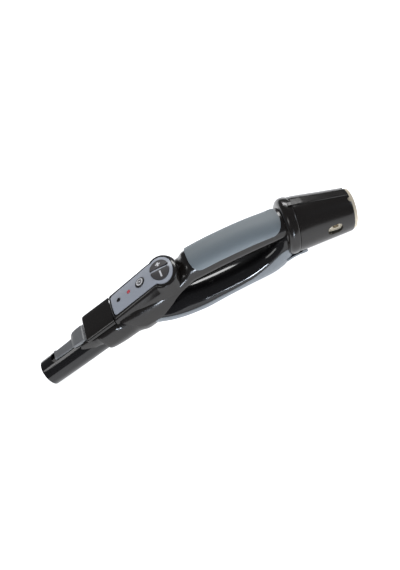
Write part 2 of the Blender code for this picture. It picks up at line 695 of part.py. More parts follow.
def remote_housing():
    """Keyhole-shaped frame round the control panel, seated on the handle's saddle."""
    shoulder = ((0.0, -SKIRT), (0.06, -3.0), (0.2, -1.3), (0.42, -0.4), (0.75, 0.0), (0.98, 0.0),
                (0.98, -RECESS))
    outer = keyhole(*POD_PLAN)
    inner = keyhole(*PANEL_PLAN, -0.45)
    ledge = keyhole(*PANEL_PLAN, 1.0)
    wall = keyhole(*POD_PLAN, 2.0)
    levels = []
    for share, drop in shoulder:
        plan = [(a[0] + (b[0] - a[0]) * share, a[1] + (b[1] - a[1]) * share) for a, b in zip(outer, inner)]
        levels.append((plan, drop))
    levels += [(ledge, -RECESS), (ledge, -3.8), (wall, -6.5), (wall, -SKIRT)]
    bm = bmesh.new()
    rows = [[bm.verts.new((x, y, panel_z(x) - crown(y) + drop)) for x, y in plan] for plan, drop in levels]
    count = len(outer)
    for low, high in zip(rows, rows[1:] + rows[:1]):
        for k in range(count):
            n = (k + 1) % count
            bm.faces.new((low[k], low[n], high[n], high[k]))
    obj = from_bmesh("remote_housing", bm, "black")
    stations = [HANDLE_STATIONS[0] - 0.5] + [x for x in HANDLE_STATIONS if x < 17]
    cut(obj, filled("saddle_fill", HANDLE_ROWS, stations, handle_power, FIT + 0.15, 20))
    sleeve = [shroud_ring(s, 25.4, 21.0, 24) for s in (40, 127)]
    cut(obj, loft("shroud_fill", sleeve, None))


def control_panel():
    """Grey keyhole plate with openings for the keys and the two lenses."""
    bm = bmesh.new()
    outline = keyhole(*PANEL_PLAN)
    rings = [[bm.verts.new((x, y, h)) for x, y in outline] for h in (-PANEL_THICK, 0)]
    count = len(outline)
    for k in range(count):
        n = (k + 1) % count
        bm.faces.new((rings[0][k], rings[0][n], rings[1][n], rings[1][k]))
    bm.faces.new(rings[0])
    bm.faces.new(rings[1])
    obj = from_bmesh("control_panel", bm, "panel_grey")
    for side in (-1, 1):
        outline = half_moon(side, GAP)
        slot = [[Vector((x, y, z)) for x, y in outline] for z in (-9, 9)]
        cut(obj, loft("moon_%d" % side, slot, None))
    for label, x, radius in (("power", POWER_X, POWER_R), ("led", LED_X, LED_R),
                             ("sensor", SENSOR_X, SENSOR_R)):
        cut(obj, rod("hole_" + label, (x, 0, 0), radius + FIT, 18, (0, 0, 1), None, 18))
    settle(obj)
    bm = bmesh.new()
    bm.from_mesh(obj.data)
    for x in (-83, -72, -60, -50, -44, -38, -32):
        geometry = bm.verts[:] + bm.edges[:] + bm.faces[:]
        bmesh.ops.bisect_plane(bm, geom=geometry, plane_co=(x * MM, 0, 0), plane_no=(1, 0, 0), dist=1e-7)
    for y in (-16, -8, 0, 8, 16):
        geometry = bm.verts[:] + bm.edges[:] + bm.faces[:]
        bmesh.ops.bisect_plane(bm, geom=geometry, plane_co=(0, y * MM, 0), plane_no=(0, 1, 0), dist=1e-7)
    for vert in bm.verts:
        vert.co.z += (panel_z(vert.co.x / MM) - crown(vert.co.y / MM)) * MM
    bmesh.ops.triangulate(bm, faces=bm.faces[:])
    bm.to_mesh(obj.data)
    bm.free()


def half_moon(side, grow=0.0):
    """Outline of one half-moon key: half an oval with rounded corners."""
    squash = (KEY_R[0] + grow) / (KEY_R[1] + grow)
    radius, gap = KEY_R[1] + grow, KEY_SPLIT - grow
    points = []
    corner = 1.8
    start = math.asin((gap + corner) / (radius - corner))
    reach = (radius - corner) * math.cos(start)
    for k in range(15):
        angle = start + (math.pi - 2 * start) * k / 14
        points.append((radius * math.cos(angle), radius * math.sin(angle)))
    for centre, first in ((-reach, math.pi - start), (reach, 1.5 * math.pi)):
        last = 1.5 * math.pi if centre < 0 else 2 * math.pi + start
        for k in range(1, 5):
            angle = first + (last - first) * k / 4
            if centre > 0 and k == 4:
                continue
            points.append((centre + corner * math.cos(angle), gap + corner + corner * math.sin(angle)))
    return [(PAD_KEYS_X + x * squash, side * y) for x, y in points]


def key(name, outline, look, depth, heights, slope=0.0):
    """A key or lens that stands in the panel, with its top parallel to the panel's."""
    cx = sum(p[0] for p in outline) / len(outline)
    cy = sum(p[1] for p in outline) / len(outline)
    rings = []
    for scale, height in ((1.0, -depth), (1.0, heights[0]), (0.94, heights[1]), (0.6, heights[2])):
        ring = []
        for x, y in outline:
            dx, dy = (x - cx) * scale, (y - cy) * scale
            fall = 0.0 if height == -depth else crown(cy + dy)
            ring.append(Vector((dx, dy, height + slope * dx - fall)))
        rings.append(ring)
    obj = loft(name, rings, look)
    obj.location = Vector((cx, cy, panel_z(cx))) * MM
    return obj


def circle(x, radius, count=20):
    """Outline of a round key at x on the middle line."""
    turns = [2 * math.pi * k / count for k in range(count)]
    return [(x + radius * math.cos(a), radius * math.sin(a)) for a in turns]


def keys_and_lenses():
    """The three keys, the red indicator and the dark sensor window."""
    key("plus_button", half_moon(1), "key_grey", 3.6, (0.4, 0.9, 1.0))
    key("minus_button", half_moon(-1), "key_grey", 3.6, (0.4, 0.9, 1.0))
    slope = math.tan(NECK_SLOPE)
    key("power_button", circle(POWER_X, POWER_R), "key_grey", 2.0, (0.5, 0.9, 1.0), slope)
    key("indicator_lens", circle(LED_X, LED_R, 14), "red", 2.4, (0.1, 0.4, 0.6), slope)
    key("sensor_lens", circle(SENSOR_X, SENSOR_R, 14), "rubber", 2.4, (0.1, 0.4, 0.6), slope)


def electronics():
    """Membrane, boards, switches, indicator and emitter inside the remote."""
    block("keypad_membrane", (-36, -11.5, BOARD_Z + 3.2), (-10, 11.5, BOARD_Z + 4.0), "rubber")
    block("control_board", (-36, -11.5, BOARD_Z), (-10, 11.5, BOARD_Z + 1.2), "board")
    for name, y in (("plus", 6.5), ("minus", -6.5)):
        block("switch_" + name, (PAD_KEYS_X - 2.6, y - 2.6, BOARD_Z + 1.5),
              (PAD_KEYS_X + 2.6, y + 2.6, BOARD_Z + 3.0), "steel")
    tilt = Matrix.Rotation(-NECK_SLOPE, 4, "Y")
    middle = (POWER_X + SENSOR_X) / 2
    seat = Matrix.Translation(Vector((middle, 0, panel_z(middle) - 5.4)) * MM) @ tilt
    reach = (POWER_X - SENSOR_X) / 2 / math.cos(NECK_SLOPE)
    block("indicator_board", (-reach - 3, -8, -0.5), (reach + 4, 8, 0.5), "board", seat)
    for name, x, size, low, look in (("switch_power", POWER_X, 2.4, 0.8, "steel"),
                                     ("indicator_led", LED_X, 1.4, 0.8, "red"),
                                     ("infrared_emitter", SENSOR_X, 1.6, 0.8, "rubber")):
        spot = (x - middle) / math.cos(NECK_SLOPE)
        block(name, (spot - size, -size, low), (spot + size, size, low + 1.2), look, seat)


def battery_bay():
    """Coin cell, its two contacts and the lift-off cover in front of the panel."""
    cell = [(0, 23.9), (9.4, 23.9), (10, 23.4), (10, 21.9), (9.4, 21.4), (0, 21.4)]
    upright = Matrix.Rotation(math.radians(90), 4, "Y")
    seat = SPIGOT_FRAME @ Matrix.Translation((0, 0, 98 * MM)) @ upright
    turned_solid("coin_cell", cell, "steel", seat, 20)
    block("battery_contact_negative", (20.8, -3, 93), (21.2, 3, 107), "brass", SPIGOT_FRAME)
    block("battery_contact_positive", (21.5, -2.5, 109.4), (24.0, 2.5, 110.0), "brass", SPIGOT_FRAME)
    rows = ((78.0, 20.3, 25.3), (79.0, 20.9, 26.1), (85, 21.2, 26.3), (122, 21.3, 26.6))
    rings = []
    count = 13
    for s, half, top in rows:
        ring = []
        for inset, order in ((0, range(count)), (1.5, reversed(range(count)))):
            for k in order:
                angle = math.pi * k / (count - 1)
                y = -(half - inset) * power_law(math.cos(angle), 2 / 4.5)
                v = 20.95 + (top - 20.95 - inset) * power_law(math.sin(angle), 2 / 4.5)
                ring.append(spigot_point(s, y, v))
        rings.append(ring)
    cover = loft("battery_cover", rings, "black")
    cut(cover, block("cover_end", (POD_PLAN[4] - GAP, -40, 40), (-60, 40, 90), None))


spigot_tube()
front_shroud()
latch_lever()
latch_spring()
duct()
rear_collar()
hose_socket()
handle_shell()
grip_underside()
grip_pad()
remote_housing()
control_panel()
keys_and_lenses()
electronics()
battery_bay()
screw("lip_screw", socket_point(-4, 0, -38.9), socket_up(), 7.5)
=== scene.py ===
# %% [markdown]
# A hose handle of a canister vacuum. The hose clips into the wide socket at one end, a steel wand slides
# over the thin spigot at the other, and a wireless key panel sits on top. Nearly all of it is moulded
# plastic, so what tells its pieces apart is gloss: polished black, satin black, soft pad and plain grey.

# %% Load the frame
import json
import math

import bpy
import numpy as np
from mathutils import Matrix, Vector


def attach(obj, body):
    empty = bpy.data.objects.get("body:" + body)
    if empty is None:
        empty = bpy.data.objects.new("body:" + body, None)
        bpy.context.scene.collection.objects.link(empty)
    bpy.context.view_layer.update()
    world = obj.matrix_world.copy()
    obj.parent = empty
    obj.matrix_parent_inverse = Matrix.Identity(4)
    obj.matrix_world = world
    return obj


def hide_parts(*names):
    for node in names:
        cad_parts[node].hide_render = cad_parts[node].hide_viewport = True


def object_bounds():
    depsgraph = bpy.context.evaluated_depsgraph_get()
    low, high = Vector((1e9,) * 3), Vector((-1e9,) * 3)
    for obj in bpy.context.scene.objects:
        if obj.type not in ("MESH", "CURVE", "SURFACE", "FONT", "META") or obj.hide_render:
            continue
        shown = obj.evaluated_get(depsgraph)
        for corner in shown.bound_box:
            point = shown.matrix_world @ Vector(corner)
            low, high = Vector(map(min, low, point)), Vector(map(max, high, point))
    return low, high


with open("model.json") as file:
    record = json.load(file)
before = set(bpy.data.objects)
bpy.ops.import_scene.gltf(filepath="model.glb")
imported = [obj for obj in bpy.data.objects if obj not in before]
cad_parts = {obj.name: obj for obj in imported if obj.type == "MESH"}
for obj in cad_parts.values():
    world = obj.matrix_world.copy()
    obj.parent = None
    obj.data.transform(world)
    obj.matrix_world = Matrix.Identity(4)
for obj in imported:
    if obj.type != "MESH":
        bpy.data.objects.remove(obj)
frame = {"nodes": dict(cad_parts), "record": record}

cad_box = [[float(n) for n in corner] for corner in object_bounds()]
MM = 0.001

# %% [markdown]
# Most shells here are rounded sections carried along the handle. A section's sizes are known at a few
# places, and a curve through them gives the sizes in between. The curve is a cubic whose slopes are the
# harmonic mean of its neighbours' slopes, because that one never swings past the values it is given.

# %% Curves and sections
def curve(xs, ys, x):
    """Cubic through (xs, ys): each slope is 2ab / (a + b) of the rises beside it, or 0 at a turn."""
    xs, ys = np.asarray(xs, float), np.asarray(ys, float)
    x = np.clip(np.asarray(x, float), xs[0], xs[-1])
    rise = np.diff(ys) / np.diff(xs)
    agree = rise[:-1] * rise[1:] > 0
    total = np.where(agree, rise[:-1] + rise[1:], 1.0)
    inner = np.where(agree, 2 * rise[:-1] * rise[1:] / total, 0.0)
    slope = np.concatenate(([rise[0]], inner, [rise[-1]]))
    i = np.clip(np.searchsorted(xs, x, side="right") - 1, 0, len(xs) - 2)
    h = xs[i + 1] - xs[i]
    t = (x - xs[i]) / h
    return ((1 + 2 * t) * (1 - t) ** 2 * ys[i] + t * (1 - t) ** 2 * h * slope[i]
            + t * t * (3 - 2 * t) * ys[i + 1] - t * t * (1 - t) * h * slope[i + 1])


def columns(rows, x):
    """The values of a table's rows at each x, one column array for each value."""
    table = np.array(rows, float)
    return [curve(table[:, 0], table[:, k], x)[:, None] for k in range(1, table.shape[1])]


def signed(value, power):
    """A power that keeps the sign of its base."""
    return np.copysign(np.abs(value) ** power, value)


def arc(x, rows, inset, above, count, power):
    """Half of a rounded section: y = -half c^(2/n), z = middle + reach s^(2/n), c and s of one angle.

    The angle runs from the section's edge height on one side, over or under, to the other side.
    """
    x = np.asarray(x, float)
    middle, half, up, down, edge = columns(rows, x)
    half, up, down = half - inset, up - inset, down - inset
    reach = np.where(edge >= middle, up, down)
    lift = np.minimum(0.999, (np.abs(edge - middle) / reach) ** (power / 2))
    start = np.copysign(np.arcsin(lift), edge - middle)
    end = (np.pi if above else -np.pi) - start
    angle = start + (end - start) * np.linspace(0, 1, count)[None, :]
    y = -half * signed(np.cos(angle), 2 / power)
    z = middle + np.where(np.sin(angle) >= 0, up, down) * signed(np.sin(angle), 2 / power)
    return np.stack(np.broadcast_arrays(x[:, None], y, z), -1)


# %% [markdown]
# The two ends tilt: the spigot rises towards the grip, and the socket falls away from it. Each has its own
# directions, along and over its axis, and one function turns those into a place in the room.

# %% Directions of the two ends
SPIGOT_TILT = math.radians(11.6)
SPIGOT_R = 17.0
SPIGOT_ROOT_R = 17.9
SPIGOT_LENGTH = 125.0
TIP = (-210.3, SPIGOT_R * math.cos(SPIGOT_TILT))
SOCKET_TILT = math.radians(16.2)
SOCKET_LENGTH = 68.0
SEAM = (137.0, 51.8)
GAP = 0.3


def stack(x, y, z):
    """Three arrays as one array of points."""
    return np.stack(np.broadcast_arrays(x, y, z), -1).astype(float)


def spigot(s, y, v):
    """Points s along the spigot from its tip and v over its axis: the (s, v) plane turned by the tilt."""
    c, q = math.cos(SPIGOT_TILT), math.sin(SPIGOT_TILT)
    s, v = np.asarray(s, float), np.asarray(v, float)
    return stack(TIP[0] + s * c - v * q, y, TIP[1] + s * q + v * c)


def socket(s, y, v):
    """Points s along the socket from its seam and v over its axis, turned the other way."""
    c, q = math.cos(SOCKET_TILT), math.sin(SOCKET_TILT)
    s, v = np.asarray(s, float), np.asarray(v, float)
    return stack(SEAM[0] + s * c + v * q, y, SEAM[1] - s * q + v * c)


# %% [markdown]
# A grid of points becomes a mesh by joining each point to its neighbours. Rings that close on themselves
# and are stacked in a row make a solid with two flat ends; a profile turned round an axis closes both ways.

# %% From grids to meshes
def shape(name, points, faces):
    """A mesh object from points in millimetres, turned so that its faces look outwards."""
    points = np.asarray(points, float).reshape(-1, 3) * MM
    mesh = bpy.data.meshes.new(name)
    mesh.from_pydata(points.tolist(), [], faces)
    mesh.calc_loop_triangles()
    corners = np.zeros(len(mesh.loop_triangles) * 3, np.int32)
    mesh.loop_triangles.foreach_get("vertices", corners)
    a, b, c = points[corners.reshape(-1, 3)].transpose(1, 0, 2)
    if np.einsum("ij,ij->", a, np.cross(b, c)) < 0:
        mesh.flip_normals()
    made = bpy.data.objects.new(name, mesh)
    bpy.context.scene.collection.objects.link(made)
    return made


def quads(index, around):
    """Faces between each row of a grid of point numbers and the next, closed round each row or not."""
    a, d = index[:-1], index[1:]
    if around:
        faces = np.stack([a, np.roll(a, -1, 1), np.roll(d, -1, 1), d], -1)
    else:
        faces = np.stack([a[:, :-1], a[:, 1:], d[:, 1:], d[:, :-1]], -1)
    return faces.reshape(-1, 4).tolist()


def loft(name, grid):
    """A solid from rings in a row, grid[ring, point]; its first and last rings are filled in."""
    index = np.arange(grid.shape[0] * grid.shape[1]).reshape(grid.shape[:2])
    caps = [index[0, ::-1].tolist(), index[-1].tolist()]
    return shape(name, grid, quads(index, True) + caps)


def turned(name, profile, place, steps=128):
    """A closed profile of (radius, distance) turned round an axis: y = r sin a, v = r cos a."""
    radius, along = np.array(profile, float).T
    angle = np.linspace(0, 2 * np.pi, steps, endpoint=False)[:, None]
    grid = place(along[None, :] + 0 * angle, radius * np.sin(angle), radius * np.cos(angle))
    index = np.arange(grid.shape[0] * grid.shape[1]).reshape(grid.shape[:2])
    return shape(name, grid, quads(np.vstack([index, index[:1]]), True))


def rounded(profile, radius, steps=4):
    """Each corner of a closed profile rounded: a curve from one side to the other, pulled to the corner."""
    points = np.array(profile, float)
    before, after = np.roll(points, 1, 0), np.roll(points, -1, 0)
    reach = [np.linalg.norm(side - points, axis=1, keepdims=True) for side in (before, after)]
    cut = [np.minimum(radius, 0.45 * length) / length for length in reach]
    first, last = points + (before - points) * cut[0], points + (after - points) * cut[1]
    t = np.linspace(0, 1, steps + 1)[None, :, None]
    bent = (1 - t) ** 2 * first[:, None] + 2 * t * (1 - t) * points[:, None] + t * t * last[:, None]
    return bent.reshape(-1, 2)


def rod(name, centre, along, radius, length, steps=48):
    """A round bar through a centre: rings of c1 cos a + c2 sin a, square to its direction."""
    turn = Vector(along).to_track_quat("Z", "Y").to_matrix()
    angle = np.linspace(0, 2 * np.pi, steps, endpoint=False)
    flat = np.stack([radius * np.cos(angle), radius * np.sin(angle), 0 * angle], -1)
    rings = [flat + [0, 0, end * length / 2] for end in (-1, 1)]
    return loft(name, np.array(rings) @ np.array(turn).T + np.array(centre, float))


def block(name, low, high, place):
    """A box between two corners (s, y, v) in the directions of one end."""
    (a, b, c), (d, e, f) = low, high
    ring = np.array(((b, c), (e, c), (e, f), (b, f)), float)
    return loft(name, np.stack([place(s, ring[:, 0], ring[:, 1]) for s in (a, d)]))


def carve(piece, tool, how="DIFFERENCE"):
    """Cut a tool out of a piece, or join it on, and keep the result as a plain mesh."""
    step = piece.modifiers.new(how, "BOOLEAN")
    step.operation = how
    step.solver = "EXACT"
    step.object = tool
    ready = piece.evaluated_get(bpy.context.evaluated_depsgraph_get())
    mesh = bpy.data.meshes.new_from_object(ready)
    piece.modifiers.clear()
    piece.data = mesh
    bpy.data.objects.remove(tool)
    return piece


# %% [markdown]
# Surface finish lives in node trees. Writing them as sums is easier to read than a list of nodes, so one
# small class wraps a socket and turns +, -, * and / into Math nodes. Every other node is made by one method.

# %% A small language for materials
class Wire:
    """One output socket of a node, which can be used in sums."""

    def __init__(self, look, socket):
        self.look, self.socket = look, socket

    def math(self, operation, *values):
        """A Math node with this and other values."""
        return self.look.node("ShaderNodeMath", {"operation": operation}, dict(enumerate(values)))

    def __add__(self, other):
        return self.math("ADD", self, other)

    def __sub__(self, other):
        return self.math("SUBTRACT", self, other)

    def __rsub__(self, other):
        return self.math("SUBTRACT", other, self)

    def __mul__(self, other):
        return self.math("MULTIPLY", self, other)

    def __truediv__(self, other):
        return self.math("DIVIDE", self, other)

    def over(self, limit):
        """1 where the value is above the limit, 0 elsewhere."""
        return self.math("GREATER_THAN", self, limit)

    __radd__, __rmul__ = __add__, __mul__


class Look:
    """A material whose Principled shader is fed by sums of wires."""

    def __init__(self, name, **fixed):
        self.material = bpy.data.materials.new(name)
        self.material.use_nodes = True
        self.tree = self.material.node_tree
        self.shader = self.tree.nodes["Principled BSDF"]
        for socket, value in fixed.items():
            self.shader.inputs[socket.replace("_", " ")].default_value = value
        self.place = self.node("ShaderNodeTexCoord", out="Object")

    def join(self, value, socket):
        """Link a wire to a socket, or set the socket to a plain value."""
        if isinstance(value, Wire):
            self.tree.links.new(value.socket, socket)
        else:
            socket.default_value = value

    def node(self, kind, settings=None, inputs=None, out=0):
        """Any node: its settings first, then its sockets, and one of its outputs as a wire."""
        made = self.tree.nodes.new(kind)
        for name, value in (settings or {}).items():
            if name == "stops":
                for k, (position, colour) in enumerate(value):
                    ramp = made.color_ramp.elements
                    stop = ramp[k] if k < 2 else ramp.new(position)
                    stop.position, stop.color = position, colour
            else:
                setattr(made, name, value)
        for name, value in (inputs or {}).items():
            self.join(value, made.inputs[name])
        return Wire(self, made.outputs[out])

    def noise(self, scale, detail=2.0, stretch=None):
        """Cloudy noise in the object's own coordinates, about 0.5 on average."""
        place = self.place
        if stretch:
            place = self.node("ShaderNodeMapping", None, {"Vector": place, "Scale": stretch})
        return self.node("ShaderNodeTexNoise", None, {"Vector": place, "Scale": scale, "Detail": detail})

    def mix(self, factor, first, second):
        """A colour between two colours."""
        return self.node("ShaderNodeMix", {"data_type": "RGBA"},
                         {"Factor": factor, 6: first, 7: second}, out=2)

    def feed(self, **values):
        """Link wires to the shader's sockets."""
        for name, value in values.items():
            self.join(value, self.shader.inputs[name.replace("_", " ")])

    def bump(self, height, distance, strength=1.0):
        """A Bump node on the shader's normal, its height in the given distance in metres."""
        self.feed(Normal=self.node("ShaderNodeBump", None, {
            "Height": height, "Distance": distance, "Strength": strength}, out="Normal"))


def shade(colour, factor):
    """A colour made lighter or darker, with its alpha."""
    return (*[min(1.0, part * factor) for part in colour[:3]], 1.0)


# %% [markdown]
# Moulded plastic is never quite one colour or one gloss. The pigment swirls a little, hands leave faint
# smears that dull the shine, and the steel mould prints its texture: none for a polished tool, sparks of a
# few hundredths of a millimetre for a satin one. Each finish below is that recipe with its own numbers.

# %% Plastic finishes
def plastic(name, colour, gloss, smear=0.06, grain=0.0, grain_scale=2600, swirl=0.10, **fixed):
    """Moulded plastic: swirled pigment, smeared gloss and the mould's grain."""
    look = Look(name, **fixed)
    cloud = look.noise(38, 3.0)
    streak = look.noise(120, 2.0, (0.35, 1.0, 1.0))
    fleck = look.noise(1400, 1.0)
    tone = cloud * 0.6 + streak * 0.3 + fleck * 0.1
    look.feed(Base_Color=look.mix(tone, shade(colour, 1 - swirl), shade(colour, 1 + swirl)))
    look.feed(Roughness=gloss + (look.noise(52, 4.0) - 0.5) * smear * 2 + (fleck - 0.5) * smear * 0.5)
    wave = look.noise(26, 1.0) * 0.4
    if grain:
        look.bump(look.noise(grain_scale, 2.0) * grain + wave, 0.00006)
    else:
        look.bump(wave + look.noise(900, 1.0) * 0.012, 0.00006)
    return look.material


LOOKS = {
    "black": plastic("satin_black", (0.0120, 0.0100, 0.0088), 0.20, 0.05, 0.10),
    "gloss_black": plastic("polished_black", (0.0085, 0.0080, 0.0085), 0.10, 0.03),
    "panel_grey": plastic("panel_grey", (0.46, 0.49, 0.555), 0.34, 0.05, 0.35, 3200, 0.03),
    "cover_grey": plastic("cover_grey", (0.215, 0.235, 0.255), 0.36, 0.05, 0.45, 2600, 0.04),
    "latch_grey": plastic("latch_grey", (0.20, 0.205, 0.212), 0.42, 0.05, 0.5, 2200, 0.05),
    "key_grey": plastic("key_grey", (0.062, 0.057, 0.060), 0.42, 0.05, 0.4, 2800, 0.06),
    "key_dark": plastic("key_dark", (0.020, 0.019, 0.021), 0.30, 0.05, 0.2, 2800, 0.06),
    "lens_dark": plastic("lens_dark", (0.006, 0.005, 0.009), 0.06, 0.02),
    "cream": plastic("cream", (0.70, 0.62, 0.48), 0.34, 0.05, 0.2, 2400, 0.04),
    "mark_white": plastic("mark_white", (0.86, 0.86, 0.88), 0.45, 0.03, 0.1, 2400, 0.02),
    "emitter_dark": plastic("emitter_dark", (0.02, 0.015, 0.035), 0.08, 0.02),
}
print("plastic finishes:", len(LOOKS))

# %% [markdown]
# The pad is soft rubber moulded over the grip. It scatters light at its surface, so it has a little sheen
# and no mirror, and its texture is deeper than the hard plastic's. The gaskets are plain dull rubber.

# %% Rubber finishes
def rubber(name, colour, depth, **fixed):
    """Soft rubber: fine leathery grain in two sizes, its colour darker in the grain's hollows, dull gloss."""
    look = Look(name, **fixed)
    fine, coarse = look.noise(3400, 2.0), look.noise(1500, 2.0)
    grain = fine * 0.6 + coarse * 0.4
    worn = look.noise(30, 3.0)
    look.feed(Base_Color=look.mix(grain * 0.7 + worn * 0.3, shade(colour, 0.88), shade(colour, 1.12)))
    look.feed(Roughness=0.56 + (worn - 0.5) * 0.12 + (grain - 0.5) * 0.1)
    look.bump(grain, depth)
    return look.material


LOOKS["pad_grey"] = rubber("pad_rubber", (0.215, 0.250, 0.272), 0.00008, Sheen_Weight=0.15,
                           Sheen_Roughness=0.5)
LOOKS["rubber"] = rubber("gasket_rubber", (0.016, 0.016, 0.017), 0.00005)
LOOKS["membrane"] = rubber("keypad_silicone", (0.50, 0.51, 0.52), 0.00003)

# %% [markdown]
# Small hidden parts get the finish of their trade: drawn spring steel, zinc-plated screws, a nickel-plated
# cell and green lacquer over the copper of a circuit board. The red lamp glows a little, like a live one.

# %% Metals, boards and lamps
def metal(name, colour, gloss, brushed):
    """Metal with drawn or brushed streaks: stretched noise in gloss and bump."""
    look = Look(name, Metallic=1.0)
    streak = look.noise(brushed, 3.0, (0.08, 1.0, 1.0))
    spot = look.noise(300, 2.0)
    look.feed(Base_Color=look.mix(streak * 0.5 + spot * 0.5, shade(colour, 0.85), shade(colour, 1.1)))
    look.feed(Roughness=gloss + (streak - 0.5) * 0.2)
    look.bump(streak, 0.00002)
    return look.material


def board():
    """Green lacquer with paler tracks: bands of a stretched noise over a plain ground."""
    look = Look("board_lacquer")
    track = look.noise(420, 0.0, (1.0, 0.25, 1.0)).over(0.55)
    look.feed(Base_Color=look.mix(track, (0.012, 0.085, 0.030, 1), (0.030, 0.160, 0.060, 1)))
    look.feed(Roughness=0.3 + track * 0.1)
    look.bump(track, 0.00004)
    return look.material


def lamp():
    """Red lens with a faint, slightly uneven glow."""
    look = Look("lens_red", Emission_Strength=0.12, Coat_Weight=0.6)
    cloud = look.noise(500, 2.0)
    look.feed(Base_Color=look.mix(cloud, (0.42, 0.03, 0.045, 1), (0.62, 0.09, 0.11, 1)))
    look.feed(Emission_Color=look.mix(cloud, (0.8, 0.05, 0.09, 1), (1.0, 0.18, 0.22, 1)))
    look.feed(Roughness=0.18 + cloud * 0.1)
    return look.material


LOOKS["steel"] = metal("zinc_steel", (0.52, 0.52, 0.50), 0.34, 260)
LOOKS["spring_steel"] = metal("spring_steel", (0.58, 0.58, 0.60), 0.28, 500)
LOOKS["cell_steel"] = metal("cell_steel", (0.66, 0.66, 0.64), 0.24, 700)
LOOKS["switch_metal"] = metal("switch_metal", (0.60, 0.60, 0.62), 0.30, 900)
LOOKS["board"] = board()
LOOKS["lens_red"] = LOOKS["led_red"] = lamp()
print("finishes in all:", len(LOOKS))

# %% [markdown]
# A finished piece takes its material, rides on the body it is bolted to, and stands for its CAD solid.
# Faces within a few degrees of each other shade as one surface, and a narrow bevel rounds the hard edges,
# because a moulded edge always has a small radius that catches the light.

# %% Finishing a piece
BODY_OF = {node: body for body, nodes in frame["record"]["behaviour"]["bodies"].items() for node in nodes}
SLOT_OF = {row["node"]: row["material_slot"] for row in frame["record"]["subparts"]}


def finish(piece, node, edge=0.0, look=None, stands=True):
    """Smooth shading, a bevel of the given width, the node's material and its place in the frame."""
    mesh = piece.data
    mesh.polygons.foreach_set("use_smooth", np.ones(len(mesh.polygons), bool))
    mesh.set_sharp_from_angle(angle=math.radians(32))
    if edge:
        bevel = piece.modifiers.new("edges", "BEVEL")
        bevel.width = edge * MM
        bevel.segments = 3
        bevel.limit_method = "ANGLE"
        bevel.angle_limit = math.radians(34)
        bevel.harden_normals = True
    mesh.materials.clear()
    mesh.materials.append(LOOKS[look or SLOT_OF[node]])
    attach(piece, BODY_OF[node])
    if stands:
        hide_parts(node)
    print(piece.name, "faces:", len(mesh.polygons))
    return piece


# %% [markdown]
# The handle moulding is the big black shell: hips that spread over the duct, a saddle for the key panel
# and the slim grip behind it. Its section is a rounded box near the spigot and an oval at the grip. A
# second, smaller section inside it gives the wall.

# %% Handle shell
HANDLE_ROWS = (  # x, middle height, half width, reach up, reach down, edge height
    (-92, 41.4, 24.8, 22.6, 22, 60.0), (-85, 43.2, 25.8, 22.8, 22, 53.5), (-75, 44.0, 27.4, 24.2, 20, 45.0),
    (-65, 45.0, 28.0, 25.0, 18, 40.5), (-51, 47.0, 28.0, 24.2, 18, 41.0), (-30, 53.0, 26.4, 19.4, 16, 50.0),
    (-18, 58.0, 24.2, 15.0, 14, 56.5), (-8, 62.5, 22.0, 11.5, 13, 59.5), (0, 65.5, 20.8, 12.0, 13, 61.0),
    (8, 67.5, 20.2, 17.5, 13, 61.0), (16, 68.0, 20.2, 18.2, 14, 61.0), (36, 68.0, 20.3, 18.8, 14, 61.0),
    (67, 67.0, 20.3, 18.4, 14, 60.0), (92, 65.5, 20.3, 17.2, 14, 58.5), (113, 63.5, 20.4, 15.2, 13, 57.0),
    (128, 62.5, 20.8, 13.8, 12, 62.0), (138, 62.3, 20.8, 13.4, 12, 69.5))


def handle_power(x):
    """How boxy the handle's section is at x."""
    return curve((-92, -60, -20, 10, 128), (4.0, 3.4, 3.0, 2.3, 2.2), x)[:, None]


def half_shell(name, rows, x, above, power, wall):
    """Outer and inner arcs as one closed ring at each station."""
    outer = arc(x, rows, 0, above, 81, power)
    inner = arc(x, rows, wall, above, 41, power)
    return loft(name, np.concatenate([outer, inner[:, ::-1]], 1))


stations = np.linspace(-92, 138, 154)
wall = curve((-92, -78, 128), (0.6, 2.2, 2.2), stations)[:, None]
shell = half_shell("handle_shell", HANDLE_ROWS, stations, True, handle_power(stations), wall)
finish(shell, "handle_shell", 0.35)

# %% [markdown]
# Under the grip the air runs through a tube in two halves: a polished black upper duct and a grey cover
# below it. The cover ends in a lip that reaches under the socket and takes one screw. The grip's own
# underside is a third half shell, above the finger gap.

# %% Duct, cover and underside
DUCT_ROWS = (
    (-56.5, 40.5, 24.4, 18.0, 20.0, 42.0), (-38, 30.3, 24.0, 17.0, 18.0, 32.0), (-13, 21.6, 22.2, 21.5,
                                                                                 16.0, 23.0),
    (8, 18.9, 21.5, 19.0, 15.5, 20.5), (36, 19.3, 21.0, 16.0, 15.0, 20.5), (64, 20.6, 21.0, 14.5, 17.0, 21.8),
    (90, 23.5, 21.2, 16.0, 19.6, 28.5), (108, 30.0, 21.8, 18.0, 22.6, 36.5), (116, 35.8, 22.6, 18.6, 23.6,
                                                                              40.0),
    (126, 45.5, 24.5, 20.0, 24.6, 43.5), (134, 48.0, 25.0, 20.5, 24.0, 47.0))
UNDERSIDE_ROWS = (
    (-20, 60.0, 21.6, 10, 13.0, 57.8), (-12, 62.0, 20.0, 10, 12.0, 58.2), (0, 65.5, 20.0, 10, 11.8, 60.7),
    (16, 68.0, 20.0, 10, 13.8, 60.7), (36, 68.0, 20.0, 10, 14.0, 60.7), (67, 67.0, 20.0, 10, 13.8, 59.7),
    (92, 65.5, 20.0, 10, 13.2, 58.2), (108, 64.0, 20.2, 10, 11.6, 57.0))
TAIL_ROWS = ((-14, 39.0, 41.4), (-7, 36.4, 38.6), (1, 34.6, 36.6), (4, 34.5, 36.4), (5.5, 33.1, 36.2),
             (9.5, 33.1, 36.0), (11.5, 33.1, 35.0))
TAIL_HALF = 22.0
SCREW_X = (24, 92)


